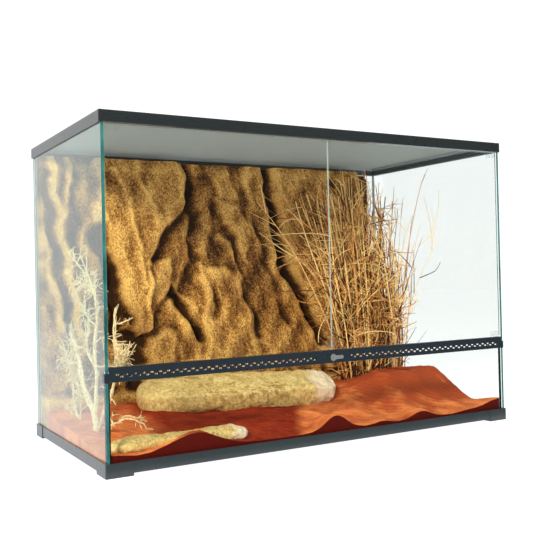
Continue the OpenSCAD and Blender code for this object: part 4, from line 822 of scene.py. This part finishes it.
root_foot, root_high = np.array([-401.5, -42.5, 34.0]), 308
root_room = [-437, -208, 30], [-330, 127, 388]  # the ends stay inside this box, in mm
root_routes = [  # radius at both ends in mm, then points in percent of the height, from the foot
    (6.6, 3.6, [(0, 0, -5), (0, 2, 15), (-1, 18, 24), (0, 28, 35), (-1, 32, 47), (-3, 35, 59)]),
    (3.6, 1.8, [(0, 28, 34), (2, 42, 34), (5, 52, 30)]),
    (3, 1.5, [(-1, 30, 42), (-3, 44, 41), (-4, 52, 45)]),
    (2.4, 1.2, [(2, 42, 34), (4, 48, 24), (3, 51, 8)]),
    (3.2, 1.4, [(0, 0, 0), (0, 25, 3), (1, 46, 6), (0, 49, 30), (1, 52, 50), (1, 53, 61)]),
    (3.8, 1.5, [(0, 2, 12), (0, -2, 34), (-1, -2, 56), (1, -5, 78), (-1, 1, 92), (0, 12, 98), (1, 24, 99)]),
    (2.4, 1.2, [(0, -3, 84), (2, 13, 90), (0, 30, 92)]),
    (2.4, 1.2, [(0, -4, 66), (-1, 11, 71), (0, 23, 79)]),
    (3, 1.2, [(1, -2, 37), (-1, 12, 50), (1, 19, 58)]),
    (3.6, 1.4, [(0, 0, 2), (-2, -21, 18), (-1, -38, 44), (-2, -35, 63), (-1, -37, 78)]),
    (2.4, 1.2, [(-2, -35, 60), (-3, -46, 58), (-2, -50, 50)]),
    (2.4, 1.2, [(-1, -31, 34), (-2, -43, 48), (-1, -52, 49)]),
    (1.8, 1.1, [(1, 23, 99), (-1, 35, 106), (1, 45, 112)]),
    (2.4, 1.3, [(0, -1, 4), (4, -14, 9), (9, -25, 14), (17, -30, 10)]),
    (2.2, 1.2, [(4, -14, 8), (12, -16, 14), (20, -26, 11)])]


def leave(parents, pick, spot):
    """Where new stems leave the picked ones, at a point number with a fraction, and the
    direction of the picked one there."""
    low = spot.astype(int)
    step = parents[pick, low + 1] - parents[pick, low]
    return parents[pick, low] + (spot - low)[:, None] * step, unit(step)


def sprout(parents, count, length, thick, seed):
    """Short bent ends: each starts at a random place of a random branch, leaves it at a slant on
    a random side, and curls by the square of its share t."""
    rng = np.random.default_rng(seed)
    pick = rng.integers(0, len(parents), count)
    start, way = leave(parents, pick, rng.uniform(0.22, 0.99, count) * (parents.shape[1] - 1.001))
    way = unit(way + 1.15 * unit(rng.normal(0, 1, (count, 3)) * [0.4, 1, 1]))
    curl = unit(rng.normal(0, 1, (count, 3)) * [0.4, 1, 1])
    size = length * rng.uniform(0.5, 1.25, (count, 1, 1))
    t = np.linspace(0, 1, 7)[None, :, None]
    paths = start[:, None] + size * (t * way[:, None] + 0.5 * t ** 2 * curl[:, None])
    paths = np.clip(paths, *root_room)
    return paths, thick * rng.uniform(0.8, 1.2, (count, 1)) * (1 - 0.45 * t[..., 0])


# Each root follows its route, with the corners rounded by a mean over neighbours
t = np.linspace(0, 1, 17)
routes = []
for _, _, bends in root_routes:
    s = np.linspace(0, len(bends) - 1, 33)
    line = np.stack([np.interp(s, range(len(bends)), c) for c in np.transpose(bends)], -1)
    for _ in range(6):
        line[1:-1] = (line[:-2] + line[1:-1] + line[2:]) / 3
    routes.append(np.stack([np.interp(32 * t, range(33), c) for c in line.T], -1))
routes = root_foot + np.array(routes) * root_high / 100
radii = np.array([r[0] + (r[1] - r[0]) * t for r in root_routes]) * (1 + 0.14 * np.sin(23 * t))
long_ends = [sprout(routes[:9], 175, 32, 1.35, 82), sprout(routes[9:13], 55, 26, 1.3, 83),
             sprout(routes[13:], 9, 20, 1.2, 85)]
short_ends = [sprout(ends, count, 14, 0.95, 84) for (ends, _), count in zip(long_ends, (480, 90, 12))]
groups = [(paths + 1.6 * np.stack([rough_field(paths, 9, 86 + k) for k in range(3)], -1), thick)
          for paths, thick in [(routes, radii)] + long_ends + short_ends]
roots = stem_piece("forked_roots", groups, 6, ["root_branches"], 88)
mat, tree, shader = new_finish("blasted_root", Roughness=0.7)
fibre = noise(tree, 240, 5, 0.65)
feed(tree, shader, Base_Color=ramp(tree, fibre, (0.3, (0.48, 0.29, 0.105)), (0.62, (0.92, 0.77, 0.45))),
     Normal=raised(tree, fibre, 0.5, 0.0008))
roots.data.materials.append(mat)


# Dry twigs: a bundle of thin stems tied to a knobbly foot in the sand. Straight stems stand
# close together at the bottom, golden straw tangles above, and long curved ones fan out. The
# bark is darker towards the bottom.
foot = np.array([323.5, 85.5, 40.0])
# Boxes in mm that the stems and the thinner straws stay inside, and the height that no straw passes
stem_room, straw_room = ([-100, -60, 0], [425, 126, 572]), ([-100, -40, 60], [437, 129, 572])
straw_top = 570


def main_stems(count, seed, thick):
    """Stems from the foot: sunflower places on an oval, a rise that differs from stem to stem,
    less at the right but for one stem in three, a lean that grows with the height to the power
    1.4 (to the left) or 1.3 (to the front), and a slow wave with a quicker wag on it."""
    rng = np.random.default_rng(seed)
    n = np.arange(count)
    a = np.radians(137.508 * n)
    s = np.sqrt((n + 0.5) / count)
    u, v = s * np.cos(a), s * np.sin(a)
    low_side = np.where(n % 3, 0.45, 0.1) * np.clip((u + 0.2) / 1.2, 0, 1)
    rise = 575 * rng.uniform(0.6, 1.0, count) ** np.where(u < 0.1, 0.5, 1)
    rise *= (1 - 0.1 * np.abs(u)) * (1 - low_side)
    lean_x = np.where(u < 0, np.where(n % 6, 50, 190) * u, -16 * u) + rng.normal(-28, 24, count)
    lean_y = np.where(u > 0.35, -55 * (u - 0.35) - 20, -14) + rng.normal(0, 10, count)
    t = np.linspace(0, 1, 12)[None, :]
    wave = 11 * np.sin(3.4 * t + rng.uniform(0, 6.3, (count, 1))) * t
    wag = 6 * np.sin(9 * t + rng.uniform(0, 6.3, (count, 1))) * t
    x = foot[0] + 92 * u[:, None] + lean_x[:, None] * t ** 1.4 + wave + wag
    y = foot[1] + 33 * v[:, None] + lean_y[:, None] * t ** 1.3 + 0.5 * wag
    z = foot[2] + rise[:, None] * t * (1 - 0.1 * t * s[:, None])
    paths = np.clip(np.stack([x, y, z], -1), *stem_room)
    return paths, thick * rng.uniform(0.7, 1.3, (count, 1)) * (1 - 0.5 * t)


def side_stems(parents, count, seed, length, spread, thick, from_t=0.15, lean=0.0):
    """Thinner stems that leave the given ones: each starts on a parent at a random height,
    goes on in the parent's direction with a random turn and a lean to the left, and curls by a
    random bend. One that would pass the top height is made shorter."""
    rng = np.random.default_rng(seed)
    pick = rng.integers(0, len(parents), count)
    start, way = leave(parents, pick, rng.uniform(from_t, 0.95, count) * (parents.shape[1] - 1))
    way = unit(way + rng.normal(0, 1, (count, 3)) * spread - np.array([lean, 0, 0]))
    size = length * rng.uniform(0.4, 1.2, (count, 1))
    bend = rng.normal(0, 0.22, (count, 3)) * size
    t = np.linspace(0, 1, 8)[None, :, None]
    paths = start[:, None] + (size * way)[:, None] * t + bend[:, None] * t ** 2
    rise = np.maximum(paths[..., 2].max(1) - start[:, 2], 1)
    fit = np.clip((straw_top - start[:, 2]) / rise, 0, 1)[:, None, None]
    paths = start[:, None] + (paths - start[:, None]) * fit
    paths = np.clip(paths, *straw_room)
    return paths, thick * rng.uniform(0.6, 1.3, (count, 1)) * (1 - 0.6 * t[..., 0])


def long_arcs(starts, ends, thick, seed):
    """Long single stems from starts to ends: they rise first and lean over later, as the sideways
    part grows with t to the power 1.7 and the height as 1 - (1 - t)^1.25, with a slow sway."""
    rng = np.random.default_rng(seed)
    t = np.linspace(0, 1, 13)[None, :]
    grow = np.stack([t ** 1.7, t ** 1.4, 1 - (1 - t) ** 1.25], -1)
    paths = starts[:, None] + (ends - starts)[:, None] * grow
    count = len(starts)
    for axis, size in ((0, 7), (1, 5)):
        paths[..., axis] += size * np.sin(5 * t + rng.uniform(0, 6.3, (count, 1))) * t
    return paths, thick * rng.uniform(0.8, 1.2, (count, 1)) * (1 - 0.75 * t)


stems = main_stems(130, 91, 1.8)
rng = np.random.default_rng(95)
left_of = foot + np.array([-84, 0, 4]) * rng.uniform(0.3, 1, (22, 1))
left_of += np.array([0, 26, 0]) * rng.uniform(-1, 1, (22, 1))
fan = long_arcs(left_of, np.stack([205 - 195 * rng.uniform(0, 1, 22) ** 1.3, rng.uniform(108, 126, 22),
                                   rng.uniform(360, 570, 22)], -1), 1.4, 96)
right_of = foot + np.stack([rng.uniform(40, 88, 7), rng.uniform(-24, 4, 7), np.zeros(7)], -1)
forks = long_arcs(right_of, np.stack([rng.uniform(375, 430, 7), rng.uniform(-80, 30, 7),
                                      rng.uniform(320, 565, 7)], -1), 1.6, 97)
straws = side_stems(stems[0], 560, 92, 105, 0.75, 1.45, 0.05, 0.7)
tangle = side_stems(stems[0], 1000, 94, 74, 1.5, 1.35, 0.04, 0.6)
loose = [straws, tangle, side_stems(tangle[0], 380, 93, 55, 1.0, 0.8),
         side_stems(forks[0], 20, 98, 120, 0.36, 1.1, 0.3), side_stems(fan[0], 30, 99, 90, 0.35, 0.8, 0.4)]
stems = stem_piece("twig_stems", [stems, fan, forks], 4, ["twig_bundle"], 3)
straws = stem_piece("twig_straws", loose, 3, [], 5)
mat, tree, shader = new_finish("dry_bark", Roughness=0.75)
bark = noise(tree, 130, 4)
# Darker towards the bottom.
low = remap(tree, axis_of(tree, "Z"), 0.06, 0.26, -0.72, -0.30)
mixed = maths(tree, "MULTIPLY_ADD", mark(tree, "tone"), 1.6, low)
mixed = maths(tree, "MULTIPLY_ADD", bark, 0.5, mixed)
tone = ramp(tree, mixed, (0.15, (0.070, 0.014, 0.005)), (0.98, (1.0, 0.72, 0.28)), (0.5, (0.74, 0.31, 0.07)))
feed(tree, shader, Base_Color=tone, Normal=raised(tree, bark, 0.4, 0.0005))
stems.data.materials.append(mat)
straws.data.materials.append(mat)
